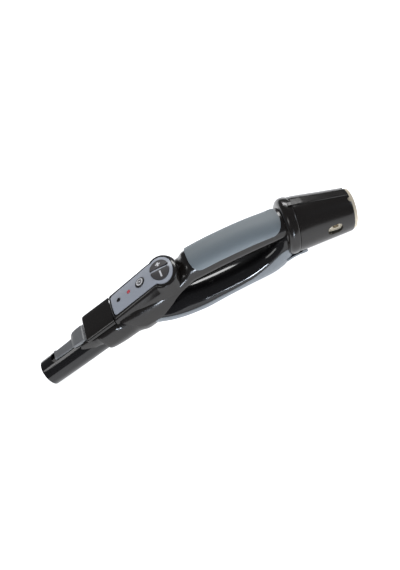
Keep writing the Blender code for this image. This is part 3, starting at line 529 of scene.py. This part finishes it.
def duct_power(x):
    """How boxy the duct's section is at x."""
    return curve((-56.5, 60, 100, 134), (2.0, 2.0, 2.4, 2.2), x)[:, None]


def tail():
    """The lip: at each distance along the socket, an outer and an inner arc of a circle round its axis."""
    s, inner, outer = np.array(TAIL_ROWS, float).T
    share = np.linspace(-1, 1, 33)[None, :]
    sides = []
    for radius in (outer[:, None], inner[:, None]):
        angle = np.arcsin(TAIL_HALF / radius) * share
        sides.append(socket(s[:, None], radius * np.sin(angle), -radius * np.cos(angle)))
    return loft("tail", np.concatenate([sides[0], sides[1][:, ::-1]], 1))


SOCKET_UP = (math.sin(SOCKET_TILT), 0, math.cos(SOCKET_TILT))
stations = np.linspace(-56.5, 134, 128)
duct = half_shell("duct_upper", DUCT_ROWS, stations, True, duct_power(stations), 2.2)
finish(duct, "duct_upper", 0.3)

lowered = [(*row[:5], row[5] - GAP) for row in DUCT_ROWS]
stations = np.linspace(-56.5, 126.5, 124)
cover = half_shell("lower_cover", lowered, stations, False, duct_power(stations), 2.2)
carve(cover, tail(), "UNION")
carve(cover, rod("tail_hole", socket(-4, 0, -38), SOCKET_UP, 1.7, 16))
carve(cover, rod("tail_sink", socket(-4, 0, -41.3), SOCKET_UP, 3.1, 7.4))
finish(cover, "lower_cover")

stations = np.linspace(-20, 108, 86)
under = half_shell("grip_underside", UNDERSIDE_ROWS, stations, False, 3.0, 2.6)
for x in SCREW_X:
    middle, _, _, down, _ = columns(UNDERSIDE_ROWS, np.array([x]))
    floor = float((middle - down)[0, 0])
    carve(under, rod("hole", (x, 0, floor), (0, 0, 1), 1.7, 20))
    carve(under, rod("sink", (x, 0, floor), (0, 0, 1), 3.1, 2.6))
finish(under, "grip_underside")

# %% [markdown]
# The grip's pad is a thin inlay over the top of the grip. Its outline is blunt in front and rounds to a
# point behind, so the angle at which its edge lies changes along its length.

# %% Grip pad
PAD_FRONT, PAD_REAR = 12.5, 127.5


def opening(share):
    """How far a quarter circle has opened: the square root of 1 - (1 - share) squared."""
    return np.sqrt(1 - (1 - np.clip(share, 0, 1)) ** 2)


def pad():
    """Outer arc, rounded edge and inner arc of the pad at each station, as one ring."""
    turn = np.linspace(0, np.pi / 2, 16)[1:]
    x = np.concatenate([np.linspace(PAD_FRONT, 110, 80), 110 + (PAD_REAR - 110.4) * np.sin(turn)])
    middle, half, up, _, _ = columns(HANDLE_ROWS, x)
    n = handle_power(x)
    front = 0.40 + 0.60 * opening((x - PAD_FRONT) / 11.0)
    low = np.radians(90 - 76 * front * opening((PAD_REAR - x) / 17.0))[:, None]
    share = np.concatenate([[0, 0.006, 0.018], np.linspace(0.04, 0.96, 60), [0.982, 0.994, 1]])[None, :]
    round_off = np.concatenate([[0.9, 0.35, 0.08], np.zeros(60), [0.08, 0.35, 0.9]])[None, :]
    sides = []
    for proud in (1.9 - round_off, 0.7 + 0 * round_off):
        angle = low + (np.pi - 2 * low) * share
        y = -(half + proud) * signed(np.cos(angle), 2 / n)
        z = middle + (up + proud) * signed(np.sin(angle), 2 / n)
        sides.append(stack(x[:, None], y, z))
    return loft("grip_pad", np.concatenate([sides[0], sides[1][:, ::-1]], 1))


finish(pad(), "grip_pad", 0.25)

# %% [markdown]
# The spigot is a plain tube that the wand slides over. A shallow channel in its top leaves room for the
# latch's tongue and hook. The shroud is the sleeve round its root, with two cheeks that hold the latch.

# %% Spigot and shroud
CHANNEL_FLOOR, CHANNEL_HALF = 11.4, 7.8
LATCH_PIVOT = (76.5, 18.2)
PIN_R = 0.9
DUCT_START = -56.5

outer = [(SPIGOT_ROOT_R, SPIGOT_LENGTH), (SPIGOT_ROOT_R, 60), (SPIGOT_R + 0.2, 3), (SPIGOT_R, 0.5), (16.5, 0)]
bore = [(SPIGOT_R - 1.9, 0), (SPIGOT_R - 2.2, 0.5), (SPIGOT_R - 2.2, 3), (SPIGOT_ROOT_R - 2.4, 60),
        (SPIGOT_ROOT_R - 2.4, SPIGOT_LENGTH)]
tube = turned("spigot_tube", outer + bore, spigot)
carve(tube, block("boss", (16, -9.8, CHANNEL_FLOOR - 1.8), (84, 9.8, 14.5), spigot), "UNION")
carve(tube, block("channel", (18, -CHANNEL_HALF, CHANNEL_FLOOR), (82, CHANNEL_HALF, 24), spigot))
finish(tube, "spigot_tube")


def shroud_rings(rows, base):
    """Rings across the spigot: round below a base height, a rounded box of the row's power above it."""
    s, half, up, down, box = (column[:, None] for column in np.array(rows, float).T)
    angle = np.linspace(0, 2 * np.pi, 96, endpoint=False)[None, :]
    c, q = np.cos(angle), np.sin(angle)
    power = np.where(q >= 0, box, 2.0)
    v = base + np.where(q >= 0, up - base, down) * signed(q, 2 / power)
    return spigot(s, half * signed(c, 2 / power), v)


def smooth_rows(rows, count):
    """More rows between a table's rows, on the curve through them."""
    s = np.linspace(rows[0][0], rows[-1][0], count)
    return np.concatenate([s[:, None]] + columns(rows, s), 1)


SLEEVE = ((89, 22.4, 20.6, 18.8, 4), (91, 23.0, 20.6, 19.6, 4), (100, 23.7, 20.6, 21.4, 4),
          (112, 23.8, 20.6, 22.8, 4), (120, 23.7, 20.2, 23.0, 2.8), (128, 23.6, 19.8, 23.6, 2.6),
          (132, 23.9, 19.8, 25.2, 2.6), (137, 24.6, 19.8, 28.6, 2.6), (142, 24.9, 19.8, 30.0, 2.6),
          (162, 24.9, 19.8, 29.6, 2.6))
SADDLE = ((60, 13.6, 16.4, 1.5, 4), (64, 14.8, 18.6, 1.5, 5), (76, 17.6, 20.6, 1.5, 6),
          (80, 18.4, 20.6, 1.5, 6),
          (84, 19.4, 20.2, 1.5, 4), (92, 22.6, 20.5, 1.5, 4))
SPIGOT_ALONG = (math.cos(SPIGOT_TILT), 0, math.sin(SPIGOT_TILT))
shroud = loft("front_shroud", shroud_rings(smooth_rows(SLEEVE, 60), 0.0))
carve(shroud, loft("saddle", shroud_rings(smooth_rows(SADDLE, 20), 5.0)), "UNION")
carve(shroud, rod("shroud_bore", spigot(49, 0, 0), SPIGOT_ALONG, SPIGOT_ROOT_R + GAP, 160, 96))
carve(shroud, rod("shroud_throat", spigot(150, 0, 0), SPIGOT_ALONG, SPIGOT_ROOT_R - 1.2, 60, 96))
carve(shroud, block("shroud_end", (DUCT_START - GAP, -40, -10), (-20, 40, 90), stack))
carve(shroud, block("latch_pocket", (40, -13.2, 0), (80.5, 13.2, 30), spigot))
carve(shroud, rod("pin_hole", spigot(*LATCH_PIVOT[:1], 0, LATCH_PIVOT[1]), (0, 1, 0), PIN_R + 0.2, 29.2))
finish(shroud, "front_shroud")

# %% [markdown]
# The latch is one moulding: a press plate for the thumb, a springy tongue and a hook at its end. Pressing
# the plate rocks it on its pin, and the hook sinks into the channel and lets the wand go.

# %% Latch
LATCH_ROWS = ((24.4, 6.0, 15.2, 18.2), (25.2, 6.0, 15.2, 19.4), (27.6, 6.0, 15.2, 19.4),
              (28.2, 6.0, 15.2, 17.8),
              (40, 6.6, 15.2, 17.9), (52.2, 7.2, 16.9, 18.2), (53.6, 8.6, 17.2, 19.4), (55.5, 10.3, 17.6,
                                                                                        21.0),
              (58.5, 11.4, 18.2, 22.0), (63, 12.2, 18.2, 22.4), (72, 12.7, 18.0, 22.2), (74.0, 12.7, 16.6,
                                                                                         20.6),
              (79.4, 12.7, 16.6, 20.2))


def latch():
    """Rings across the lever: a flat box whose two upper edges are quarter rounds."""
    s, half, low, high = (column[:, None] for column in np.array(LATCH_ROWS, float).T)
    turn = np.linspace(0, np.pi / 2, 5)[None, :]
    r = 0.8
    right = stack(s, half - r + r * np.cos(turn), high - r + r * np.sin(turn))
    left = stack(s, -half + r - r * np.sin(turn), high - r + r * np.cos(turn))
    feet = [stack(s, sign * half, low) for sign in (-1, 1)]
    ring = np.concatenate([feet[0], feet[1], right, left], 1)
    return loft("latch_lever", spigot(ring[..., 0], ring[..., 1], ring[..., 2]))


lever = latch()
carve(lever, rod("lever_hole", spigot(LATCH_PIVOT[0], 0, LATCH_PIVOT[1]), (0, 1, 0), PIN_R + 0.2, 60))
finish(lever, "latch_lever")

# %% [markdown]
# The battery cover is the boxy lid in front of the panel, over the coin cell. It lifts straight off.

# %% Battery cover
COVER_ROWS = ((78.0, 20.3, 25.3), (79.0, 20.9, 26.1), (85, 21.2, 26.3), (122, 21.3, 26.6))
PANEL_PLAN = (14.8, 22.0, 17.6, 16.2, -93.6, 4.0)
POD_PLAN = (20.3, 26.6, 21.4, 21.4, -97.0, 1.4)


def lid():
    """Outer and inner arches with power 4.5, y = -half c^(2/4.5), standing on the shroud's shoulders."""
    rows = smooth_rows(COVER_ROWS, 40)
    s, half, top = (column[:, None] for column in rows.T)
    base, power = 20.95, 2 / 4.5
    angle = np.pi * np.linspace(0, 1, 65)[None, :]
    arches = []
    for inset in (0, 1.5):
        y = -(half - inset) * signed(np.cos(angle), power)
        arches.append(spigot(s, y, base + (top - base - inset) * signed(np.sin(angle), power)))
    return loft("battery_cover", np.concatenate([arches[0], arches[1][:, ::-1]], 1))


cap = lid()
carve(cap, block("cover_end", (POD_PLAN[4] - GAP, -40, 40), (-60, 40, 90), stack))
finish(cap, "battery_cover")

# %% [markdown]
# The remote's plan is a keyhole: an oval puck with the two big keys, and a strip that runs to the front
# with the power key, the lamp and the sensor. The black housing and the grey panel share that plan.

# %% Keyhole plan
PUCK_X = -21.2


def line(start, end, count):
    """Points strictly between two points of an outline."""
    t = (np.arange(1, count + 1) / (count + 1))[:, None]
    return np.array(start) + (np.array(end) - np.array(start)) * t


def keyhole(length, width, strip, front_half, front, corner, inset=0.0):
    """Plan outline: the oval (length cos a, width sin a), straight sides, and a front with round corners."""
    length, width, strip = length - inset, width - inset, strip - inset
    front_half, front = front_half - inset, front + inset
    join = math.acos(strip / width)
    a = np.linspace(-math.pi / 2 - join, math.pi / 2 + join, 97)
    puck = np.stack([PUCK_X + length * np.cos(a), width * np.sin(a)], -1)
    turn = np.linspace(0, math.pi / 2, 9)
    left = np.stack([front + corner - corner * np.sin(turn), front_half - corner + corner * np.cos(turn)], -1)
    right = left[::-1] * (1, -1)
    return np.concatenate([puck, line(puck[-1], left[0], 40), left, line(left[-1], right[0], 21), right,
                           line(right[-1], puck[0], 40)])


def panel_z(x):
    """Height of the remote's top along its middle line."""
    return curve((-97, -83, -67.4, -50, -39, -29, -18, 0), (69.2, 73.0, 77.4, 82.2, 85.4, 87.2, 86.8, 85.0),
                 x)


def crown(y):
    """How far the top falls towards its sides: 1.65 (1 - cos(pi |y| / 26))."""
    return 1.65 * (1 - np.cos(np.pi * np.minimum(np.abs(y) / 26, 1)))


def drape(plan, drop):
    """Plan points laid on the remote's top surface, lowered by a drop."""
    return stack(plan[:, 0], plan[:, 1], panel_z(plan[:, 0]) - crown(plan[:, 1]) + drop)


# %% [markdown]
# The housing is a frame round the panel. Its cross-section climbs the outside wall, rolls over a soft
# shoulder and drops into the seat of the panel. It is carried round the keyhole plan, and its foot is cut
# by the handle's saddle and the shroud's sleeve, so that it sits on both with a hairline gap.

# %% Remote housing
SKIRT, RECESS = 20.0, 2.2


def filled(name, rows, x, power, grow, floor):
    """A solid of a half shell's outer shape, grown a little and filled down to a floor."""
    middle, half, up, _, edge = columns(rows, x)
    top = arc(x, rows, 0, True, 81, power)
    z = middle + (top[..., 2] - middle) * (up + grow) / up
    z = np.maximum(z, np.maximum(edge - grow, floor))
    y = top[..., 1] * (half + grow) / half
    y, z = (np.concatenate(parts, 1) for parts in
            ((y[:, :1], y, y[:, -1:]), (z[:, :1] * 0 + floor, z, z[:, :1] * 0 + floor)))
    return loft(name, stack(x[:, None], y, z))


def flare(outline):
    """The plan with its hollow flanks filled: each side runs straight from the front to the widest point."""
    x, y = outline[:, 0], np.abs(outline[:, 1])
    widest = int(np.argmax(y))
    front = POD_PLAN[4] + POD_PLAN[5]
    straight = POD_PLAN[3] + (y[widest] - POD_PLAN[3]) * (x - front) / (x[widest] - front)
    flank = (x > front) & (x < x[widest]) & (straight > y)
    return np.stack([x, np.copysign(np.where(flank, straight, y), outline[:, 1])], -1)


def housing():
    """Rings round the keyhole plan, from the foot over the shoulder and down into the panel's seat."""
    knots = np.array(((0.0, -SKIRT), (0.06, -3.0), (0.2, -1.3), (0.42, -0.4), (0.75, 0.0), (0.98, 0.0)))
    t = np.concatenate([np.linspace(0, 0.95, 16), np.linspace(1, 5, 25)])
    share, drop = curve(range(6), knots[:, 0], t), curve(range(6), knots[:, 1], t)
    outer, inner = keyhole(*POD_PLAN), keyhole(*PANEL_PLAN, -0.45)
    flared = flare(outer)
    rings = []
    for part, fall in zip(share, drop):
        foot = np.clip((-1.0 - fall) / 9.0, 0, 1) ** 1.2
        plan = outer + (flared - outer) * foot
        rings.append(drape(plan + (inner - outer) * part, fall))
    rings.append(drape(outer + (inner - outer) * 0.98, -RECESS))
    ledge, wall = keyhole(*PANEL_PLAN, 1.0), keyhole(*POD_PLAN, 2.0)
    rings += [drape(ledge, -RECESS), drape(ledge, -3.8), drape(wall, -6.5), drape(wall, -SKIRT)]
    grid = np.stack(rings)
    index = np.arange(grid.shape[0] * grid.shape[1]).reshape(grid.shape[:2])
    return shape("remote_housing", grid, quads(np.vstack([index, index[:1]]), True))


pod = housing()
stations = np.linspace(-92.5, 17, 74)
carve(pod, filled("saddle_fill", HANDLE_ROWS, stations, handle_power(stations), 0.55, 20))
grown = ((40, 25.4, 21.0, 24, 4), (127, 25.4, 21.0, 24, 4))
carve(pod, loft("shroud_fill", shroud_rings(grown, 0.0)))
finish(pod, "remote_housing")

# %% [markdown]
# The panel is a thin grey plate with a rolled rim. It is made of rows across the plan, as wide at each
# station as the keyhole is there. The holes for keys and lenses are cut straight down.

# %% Control panel
PANEL_THICK = 1.6
PAD_KEYS_X, KEY_R, KEY_SPLIT = -22.2, (11.9, 16.0), 1.5
POWER_X, POWER_R = -50.0, 6.5
LED_X, LED_R = -67.4, 2.3
SENSOR_X, SENSOR_R = -83.0, 2.6


def half_moon(side, grow=0.0):
    """Half an oval with its two corners rounded, on one side of the middle line."""
    squash = (KEY_R[0] + grow) / (KEY_R[1] + grow)
    radius, gap, corner = KEY_R[1] + grow, KEY_SPLIT - grow, 1.8
    start = math.asin((gap + corner) / (radius - corner))
    reach = (radius - corner) * math.cos(start)
    big = np.linspace(start, math.pi - start, 49)
    left = np.linspace(math.pi - start, 1.5 * math.pi, 10)[1:]
    right = np.linspace(1.5 * math.pi, 2 * math.pi + start, 10)[:-1]
    xs = [radius * np.cos(big), corner * np.cos(left) - reach, corner * np.cos(right) + reach]
    ys = [radius * np.sin(big), gap + corner + corner * np.sin(left), gap + corner + corner * np.sin(right)]
    return np.stack([PAD_KEYS_X + np.concatenate(xs) * squash, side * np.concatenate(ys)], -1)


def circle(x, radius, count=64):
    """A round outline at x on the middle line."""
    a = np.linspace(0, 2 * np.pi, count, endpoint=False)
    return np.stack([x + radius * np.cos(a), radius * np.sin(a)], -1)


def prism(name, outline, low, high):
    """An upright solid on a plan outline."""
    return loft(name, np.stack([stack(outline[:, 0], outline[:, 1], z) for z in (low, high)]))


def half_width(x, inset):
    """Half width of the keyhole at x: the oval or the strip, whichever is wider, and the front corners."""
    length, width, strip, front_half, front, corner = PANEL_PLAN
    x = np.clip(x, front + inset, PUCK_X + length - inset)
    oval = (width - inset) * np.sqrt(np.maximum(0, 1 - ((x - PUCK_X) / (length - inset)) ** 2))
    join = PUCK_X - length * math.sin(math.acos(strip / width))
    sides = front_half + (strip - front_half) * (x - front - corner) / (join - front - corner) - inset
    into = np.clip((front + inset + corner - x) / corner, 0, 1)
    sides = sides - corner * (1 - np.sqrt(1 - into ** 2))
    return np.where(x > PUCK_X, oval, np.maximum(oval, np.where(x < join + 12, sides, 0)))


def plate():
    """Stations along the panel: a row of points across the top and one back underneath.

    The rim is rolled: near the outline the top falls by r - sqrt(r^2 - (r - d)^2), d the distance to it.
    """
    low, high = PANEL_PLAN[4], PUCK_X + PANEL_PLAN[0]
    t = np.linspace(0, np.pi, 241)
    x = low + (high - low) * (0.8 * (1 - np.cos(t)) / 2 + 0.2 * t / np.pi)
    across = np.sin(np.linspace(-np.pi / 2, np.pi / 2, 81))[None, :]
    y = np.maximum(half_width(x, 0.0), 0.02)[:, None] * across
    x = x[:, None] + 0 * y
    outline = keyhole(*PANEL_PLAN)
    gap = np.stack([np.hypot(x - px, y - py) for px, py in outline]).min(0)
    roll = 1.2
    near = np.clip(roll - gap, 0, roll)
    top = panel_z(x) - crown(y) - 0.85 * (roll - np.sqrt(roll ** 2 - near ** 2))
    under = panel_z(x) - crown(y) - PANEL_THICK
    grid = np.concatenate([stack(x, y, top), stack(x, y, under)[:, ::-1]], 1)
    return loft("control_panel", grid)


panel = plate()
for side in (-1, 1):
    carve(panel, prism("moon", half_moon(side, GAP), 60, 100))
for x, radius in ((POWER_X, POWER_R), (LED_X, LED_R), (SENSOR_X, SENSOR_R)):
    carve(panel, prism("hole", circle(x, radius + 0.4), 60, 100))
finish(panel, "control_panel")

# %% [markdown]
# Each key is a low dome on a straight wall. Its outline shrinks towards its own middle while the height
# follows a quarter round at the edge and stays nearly flat on top. The marks are white inlays, pressed in
# level with the top and a hair proud of it.

# %% Keys and lenses
NECK_SLOPE = math.tan(math.radians(16.0))


def key_top(outline, slope):
    """The middle of an outline, and the height of its key's top as a function of place."""
    middle = outline.mean(0)
    base = float(panel_z(middle[0]))

    def height(plan):
        return base + slope * (plan[..., 0] - middle[0]) - crown(plan[..., 1])
    return middle, height


def key(name, outline, depth, tall, slope=0.0, edge=0.6, look=None):
    """Rings from the foot up the wall, round the edge and over the dome."""
    middle, height = key_top(outline, slope)
    reach = np.linalg.norm(outline - middle, axis=1).mean()
    rings = [stack(outline[:, 0], outline[:, 1], height(middle[None, :])[0] - depth)]
    for a in np.linspace(0, np.pi / 2, 7):
        plan = middle + (outline - middle) * (1 - edge * (1 - math.cos(a)) / reach)
        rings.append(stack(plan[:, 0], plan[:, 1], height(plan) + tall - 0.15 - edge * (1 - math.sin(a))))
    for t in np.linspace(0.9, 0.04, 12):
        plan = middle + (outline - middle) * (1 - edge / reach) * t
        rings.append(stack(plan[:, 0], plan[:, 1], height(plan) + tall - 0.15 * t * t))
    finish(loft(name, np.stack(rings)), name, 0.0, look)


key("plus_button", half_moon(1), 3.6, 1.0)
key("minus_button", half_moon(-1), 3.6, 1.0)
key("power_button", circle(POWER_X, POWER_R), 2.4, 1.0, NECK_SLOPE, look="key_dark")
key("indicator_lens", circle(LED_X, LED_R), 2.4, 0.6, NECK_SLOPE, 0.8)
key("sensor_lens", circle(SENSOR_X, SENSOR_R), 2.4, 0.6, NECK_SLOPE, 0.8)


def inlay(name, outline, home, slope, low, high, node, look="mark_white"):
    """A thin flat mark on a key: its outline at two heights over the key's top."""
    _, height = key_top(home, slope)
    rings = [stack(outline[:, 0], outline[:, 1], height(outline) + level) for level in (low, high)]
    finish(loft(name, np.stack(rings)), node, 0.0, look, stands=False)


def bar(x, y, length, width):
    """A bar across the handle, finely divided so that it follows the crown."""
    ys = np.linspace(-length / 2, length / 2, 13)
    right = np.stack([0 * ys + width / 2, ys], -1)
    left = np.stack([0 * ys - width / 2, ys[::-1]], -1)
    return np.concatenate([right, left]) + (x, y)


def cross(x, y, length, width, reach):
    """A plus sign: a long bar across the handle and a shorter one along it."""
    h, w, r = length / 2, width / 2, reach / 2
    points = ((w, -h), (w, -w), (r, -w), (r, w), (w, w), (w, h), (-w, h), (-w, w), (-r, w), (-r, -w),
              (-w, -w),
              (-w, -h))
    return np.array(points) + (x, y)


def ring_part(x, inner, outer, gap):
    """A ring with a gap at its front, as one outline: outer arc, then inner arc back."""
    a = np.linspace(math.pi + gap, 3 * math.pi - gap, 41)
    arcs = [np.stack([x + r * np.cos(turn), r * np.sin(turn)], -1) for r,
            turn in ((outer, a), (inner, a[::-1]))]
    return np.concatenate(arcs)


PLUS_Y, MINUS_Y = 7.8, -8.2
inlay("plus_mark", cross(PAD_KEYS_X + 0.2, PLUS_Y, 7.0, 2.0, 6.4), half_moon(1), 0.0, 0.6, 1.04,
      "plus_button")
inlay("minus_mark", bar(PAD_KEYS_X + 0.2, MINUS_Y, 8.6, 2.0), half_moon(-1), 0.0, 0.6, 1.04, "minus_button")
home = circle(POWER_X, POWER_R)
inlay("power_disc", circle(POWER_X, 4.7), home, NECK_SLOPE, 0.6, 1.04, "power_button")
inlay("power_ring", ring_part(POWER_X, 2.0, 3.1, 0.62), home, NECK_SLOPE, 0.9, 1.08, "power_button",
      "key_dark")
inlay("power_bar", bar(POWER_X - 2.2, 0, 1.0, 3.0), home, NECK_SLOPE, 0.9, 1.08, "power_button", "key_dark")

# %% [markdown]
# The collar is a turned ring with a rounded front, where the grip and the duct run into the socket. Both are
# cut out of it, a little oversize, so that neither touches.

# %% Rear collar
COLLAR = [(33.4, -0.4), (34.0, -4), (33.8, -8), (32.4, -11), (29.0, -13.4), (22.5, -14.2),
          (22.5, -11.6), (28.0, -10.6), (30.0, -8.6), (30.2, -0.4)]
collar = turned("rear_collar", rounded(COLLAR, 2.0), socket)
stations = np.linspace(100, 142, 40)
carve(collar, filled("handle_plug", HANDLE_ROWS, stations, handle_power(stations), 0.4, 40))
stations = np.linspace(100, 134, 30)
wide = [(x, middle, half + 0.4, up + 0.4, down + 0.4, middle) for x, middle, half, up, down, _ in DUCT_ROWS]
top = arc(stations, wide, 0, True, 61, duct_power(stations))
low = arc(stations, wide, 0, False, 61, duct_power(stations))
carve(collar, loft("duct_plug", np.concatenate([top, low[:, ::-1][:, 1:-1]], 1)))
carve(collar, rod("collar_hole", socket(-4, 0, -33), SOCKET_UP, 1.7, 12))
carve(collar, block("seam_tab", (-5, -6, 32.4), (-1, -1, 35.2), socket), "UNION")
finish(collar, "rear_collar")

# %% [markdown]
# The hose socket is a turned cup. A flat key rail runs along its top, the rim has two notches, and a window
# on each side lets the ring inside be unclipped. The cream ring turns in the cup with the hose.

# %% Hose socket and swivel ring
RIM_R, CUP_R = 26.2, 27.0
SWIVEL_R, SWIVEL_BORE_R, SWIVEL_START, SWIVEL_OUT = 24.0, 21.2, 22.0, 4.4


def slot(name, length, width, depth, s, v):
    """A slot cutter with round ends, lying across the socket at distance s and height v."""
    half = (length - width) / 2
    a = np.linspace(0, 2 * np.pi, 48, endpoint=False) + np.pi / 48
    along = np.copysign(half, np.cos(a)) + width / 2 * np.cos(a)
    grid = [socket(s + along, side * depth / 2, v + width / 2 * np.sin(a)) for side in (-1, 1)]
    return loft(name, np.stack(grid))


s = np.linspace(0, SOCKET_LENGTH - 1, 40)
side = curve((0, 4, 14, 24, 44, SOCKET_LENGTH - 1), (32.6, 32.6, 31.9, 30.8, 28.6, 26.2), s)
outside = list(zip(side[::-1], s[::-1]))
inside = [(CUP_R, 0), (CUP_R, 20), (SWIVEL_R + GAP, 20.6), (SWIVEL_R + GAP, SOCKET_LENGTH)]
cup = turned("hose_socket", [(RIM_R - 0.3, SOCKET_LENGTH)] + outside + inside, socket)
RAIL = ((0.2, 30, 33.5), (12, 30, 33.2), (12.4, 29.6, 32.5), (44, 27.2, 29.5), (67, 25.0, 27.0))
s, low, top = (column[:, None] for column in np.array(RAIL, float).T)
y = np.array((-5.6, 5.6, 5.2, 4.8, -4.8, -5.2))[None, :]
v = np.concatenate([low, low, top - 0.35, top, top, top - 0.35], 1)
carve(cup, loft("rail", socket(s, y, v)), "UNION")
for turn in (-24, 24):
    a = math.radians(turn)
    spot = socket(SOCKET_LENGTH, math.sin(a) * RIM_R, math.cos(a) * RIM_R)
    out = spot - socket(SOCKET_LENGTH, 0, 0)
    carve(cup, rod("notch", spot, out, 3.2, 9))
carve(cup, slot("windows", 19, 12.5, 90, 43.0, 0.6))
finish(cup, "hose_socket")

end = SOCKET_LENGTH + SWIVEL_OUT
RING = [(SWIVEL_R, end), (SWIVEL_R, SWIVEL_START), (SWIVEL_BORE_R, SWIVEL_START), (SWIVEL_BORE_R, end)]
ring = turned("swivel_ring", rounded(RING, 0.7), socket)
carve(ring, slot("ring_windows", 8, 4.6, 90, 44.5, 1.3))
finish(ring, "swivel_ring")

# %% [markdown]
# Screws, springs, boards and gaskets keep their CAD shape: they are hidden or tiny, and the CAD gives them
# the right form. Each still gets the finish of its real material.

# %% Finish the parts that stay as they are
kept = 0
for node, item in frame["nodes"].items():
    if item.hide_render:
        continue
    item.data.materials.clear()
    item.data.materials.append(LOOKS[SLOT_OF[node]])
    kept += 1
print("CAD parts kept:", kept)

# %% [markdown]
# The handle lies on a white table in a light tent: the table glows white, a long soft box behind and above
# draws the highlights along the top, and a small window in front puts the cool spot on the polished duct.
# Black plastic shows little of its own colour, so these shapes are what the eye reads as its form.

# %% Floor and lights
bpy.context.scene.view_settings.view_transform = "Standard"


def floor():
    """A large flat sheet at the part's lowest point, nearly white, that also glows."""
    low = cad_box[0][2]
    side = 12.0
    points = np.array([(-side, -side, low), (side, -side, low), (side, side, low), (-side, side, low)]) / MM
    made = shape("floor", points, [(0, 1, 2, 3)])
    look = Look("table_white", Emission_Strength=1.0)
    cloud = look.noise(3.0, 2.0)
    look.feed(Base_Color=look.mix(cloud, (0.80, 0.81, 0.83, 1), (0.84, 0.85, 0.87, 1)))
    look.feed(Emission_Color=look.mix(cloud, (0.97, 0.98, 1.0, 1), (1.0, 1.0, 1.0, 1)))
    look.feed(Roughness=0.9 + (cloud - 0.5) * 0.1)
    made.data.materials.append(look.material)


def light(name, direction, distance, width, height, watts, colour=(1, 1, 1)):
    """A soft box at a distance in a direction, facing the middle of the handle."""
    lamp_data = bpy.data.lights.new(name, "AREA")
    lamp_data.shape = "RECTANGLE"
    lamp_data.size, lamp_data.size_y = width, height
    lamp_data.energy, lamp_data.color = watts, colour
    made = bpy.data.objects.new(name, lamp_data)
    bpy.context.scene.collection.objects.link(made)
    away = Vector(direction).normalized()
    made.location = Vector((0.0, 0.0, 0.04)) + away * distance
    made.rotation_euler = away.to_track_quat("Z", "Y").to_euler()


floor()
light("rear_softbox", (0.30, 0.69, 0.66), 1.6, 1.1, 0.42, 15.0)
light("side_window", (0.93, -0.17, 0.36), 1.3, 0.30, 0.30, 1.5, (0.82, 0.89, 1.0))
light("front_window", (-0.10, -0.98, 0.12), 1.0, 0.14, 0.12, 3.0, (0.80, 0.88, 1.0))
light("left_softbox", (-0.75, -0.25, 0.85), 1.6, 0.5, 0.5, 3.0)
world = bpy.data.worlds.new("tent")
world.use_nodes = True
world.node_tree.nodes["Background"].inputs["Color"].default_value = (0.15, 0.155, 0.165, 1)
world.node_tree.nodes["Background"].inputs["Strength"].default_value = 1.0
bpy.context.scene.world = world

# %% [markdown]
# The camera looks down at 46 degrees from in front and a little to one side, rolled so that the handle runs
# up across the picture.

# %% Camera
AZIMUTH, ELEVATION, ROLL = math.radians(8), math.radians(46), math.radians(33)
DISTANCE, TARGET = 0.9, Vector((0.0075, 0.0, 0.016))
LENS = 46.67
SHIFT = (-0.00877, 0.01404)


def camera():
    """A camera at a distance from the target, its axes turned about the line of sight by the roll."""
    away = Vector((math.sin(AZIMUTH) * math.cos(ELEVATION), -math.cos(AZIMUTH) * math.cos(ELEVATION),
                   math.sin(ELEVATION)))
    right = (-away).cross(Vector((0, 0, 1))).normalized()
    up = right.cross(-away)
    across = math.cos(ROLL) * right - math.sin(ROLL) * up
    upward = math.sin(ROLL) * right + math.cos(ROLL) * up
    data = bpy.data.cameras.new("camera")
    data.sensor_fit = "VERTICAL"
    data.sensor_height = 36
    data.lens = LENS
    data.shift_x, data.shift_y = SHIFT
    data.clip_start = 0.01
    made = bpy.data.objects.new("camera", data)
    bpy.context.scene.collection.objects.link(made)
    turn = Matrix((across, upward, away)).transposed().to_4x4()
    made.matrix_world = Matrix.Translation(TARGET + away * DISTANCE) @ turn
    bpy.context.scene.camera = made


camera()
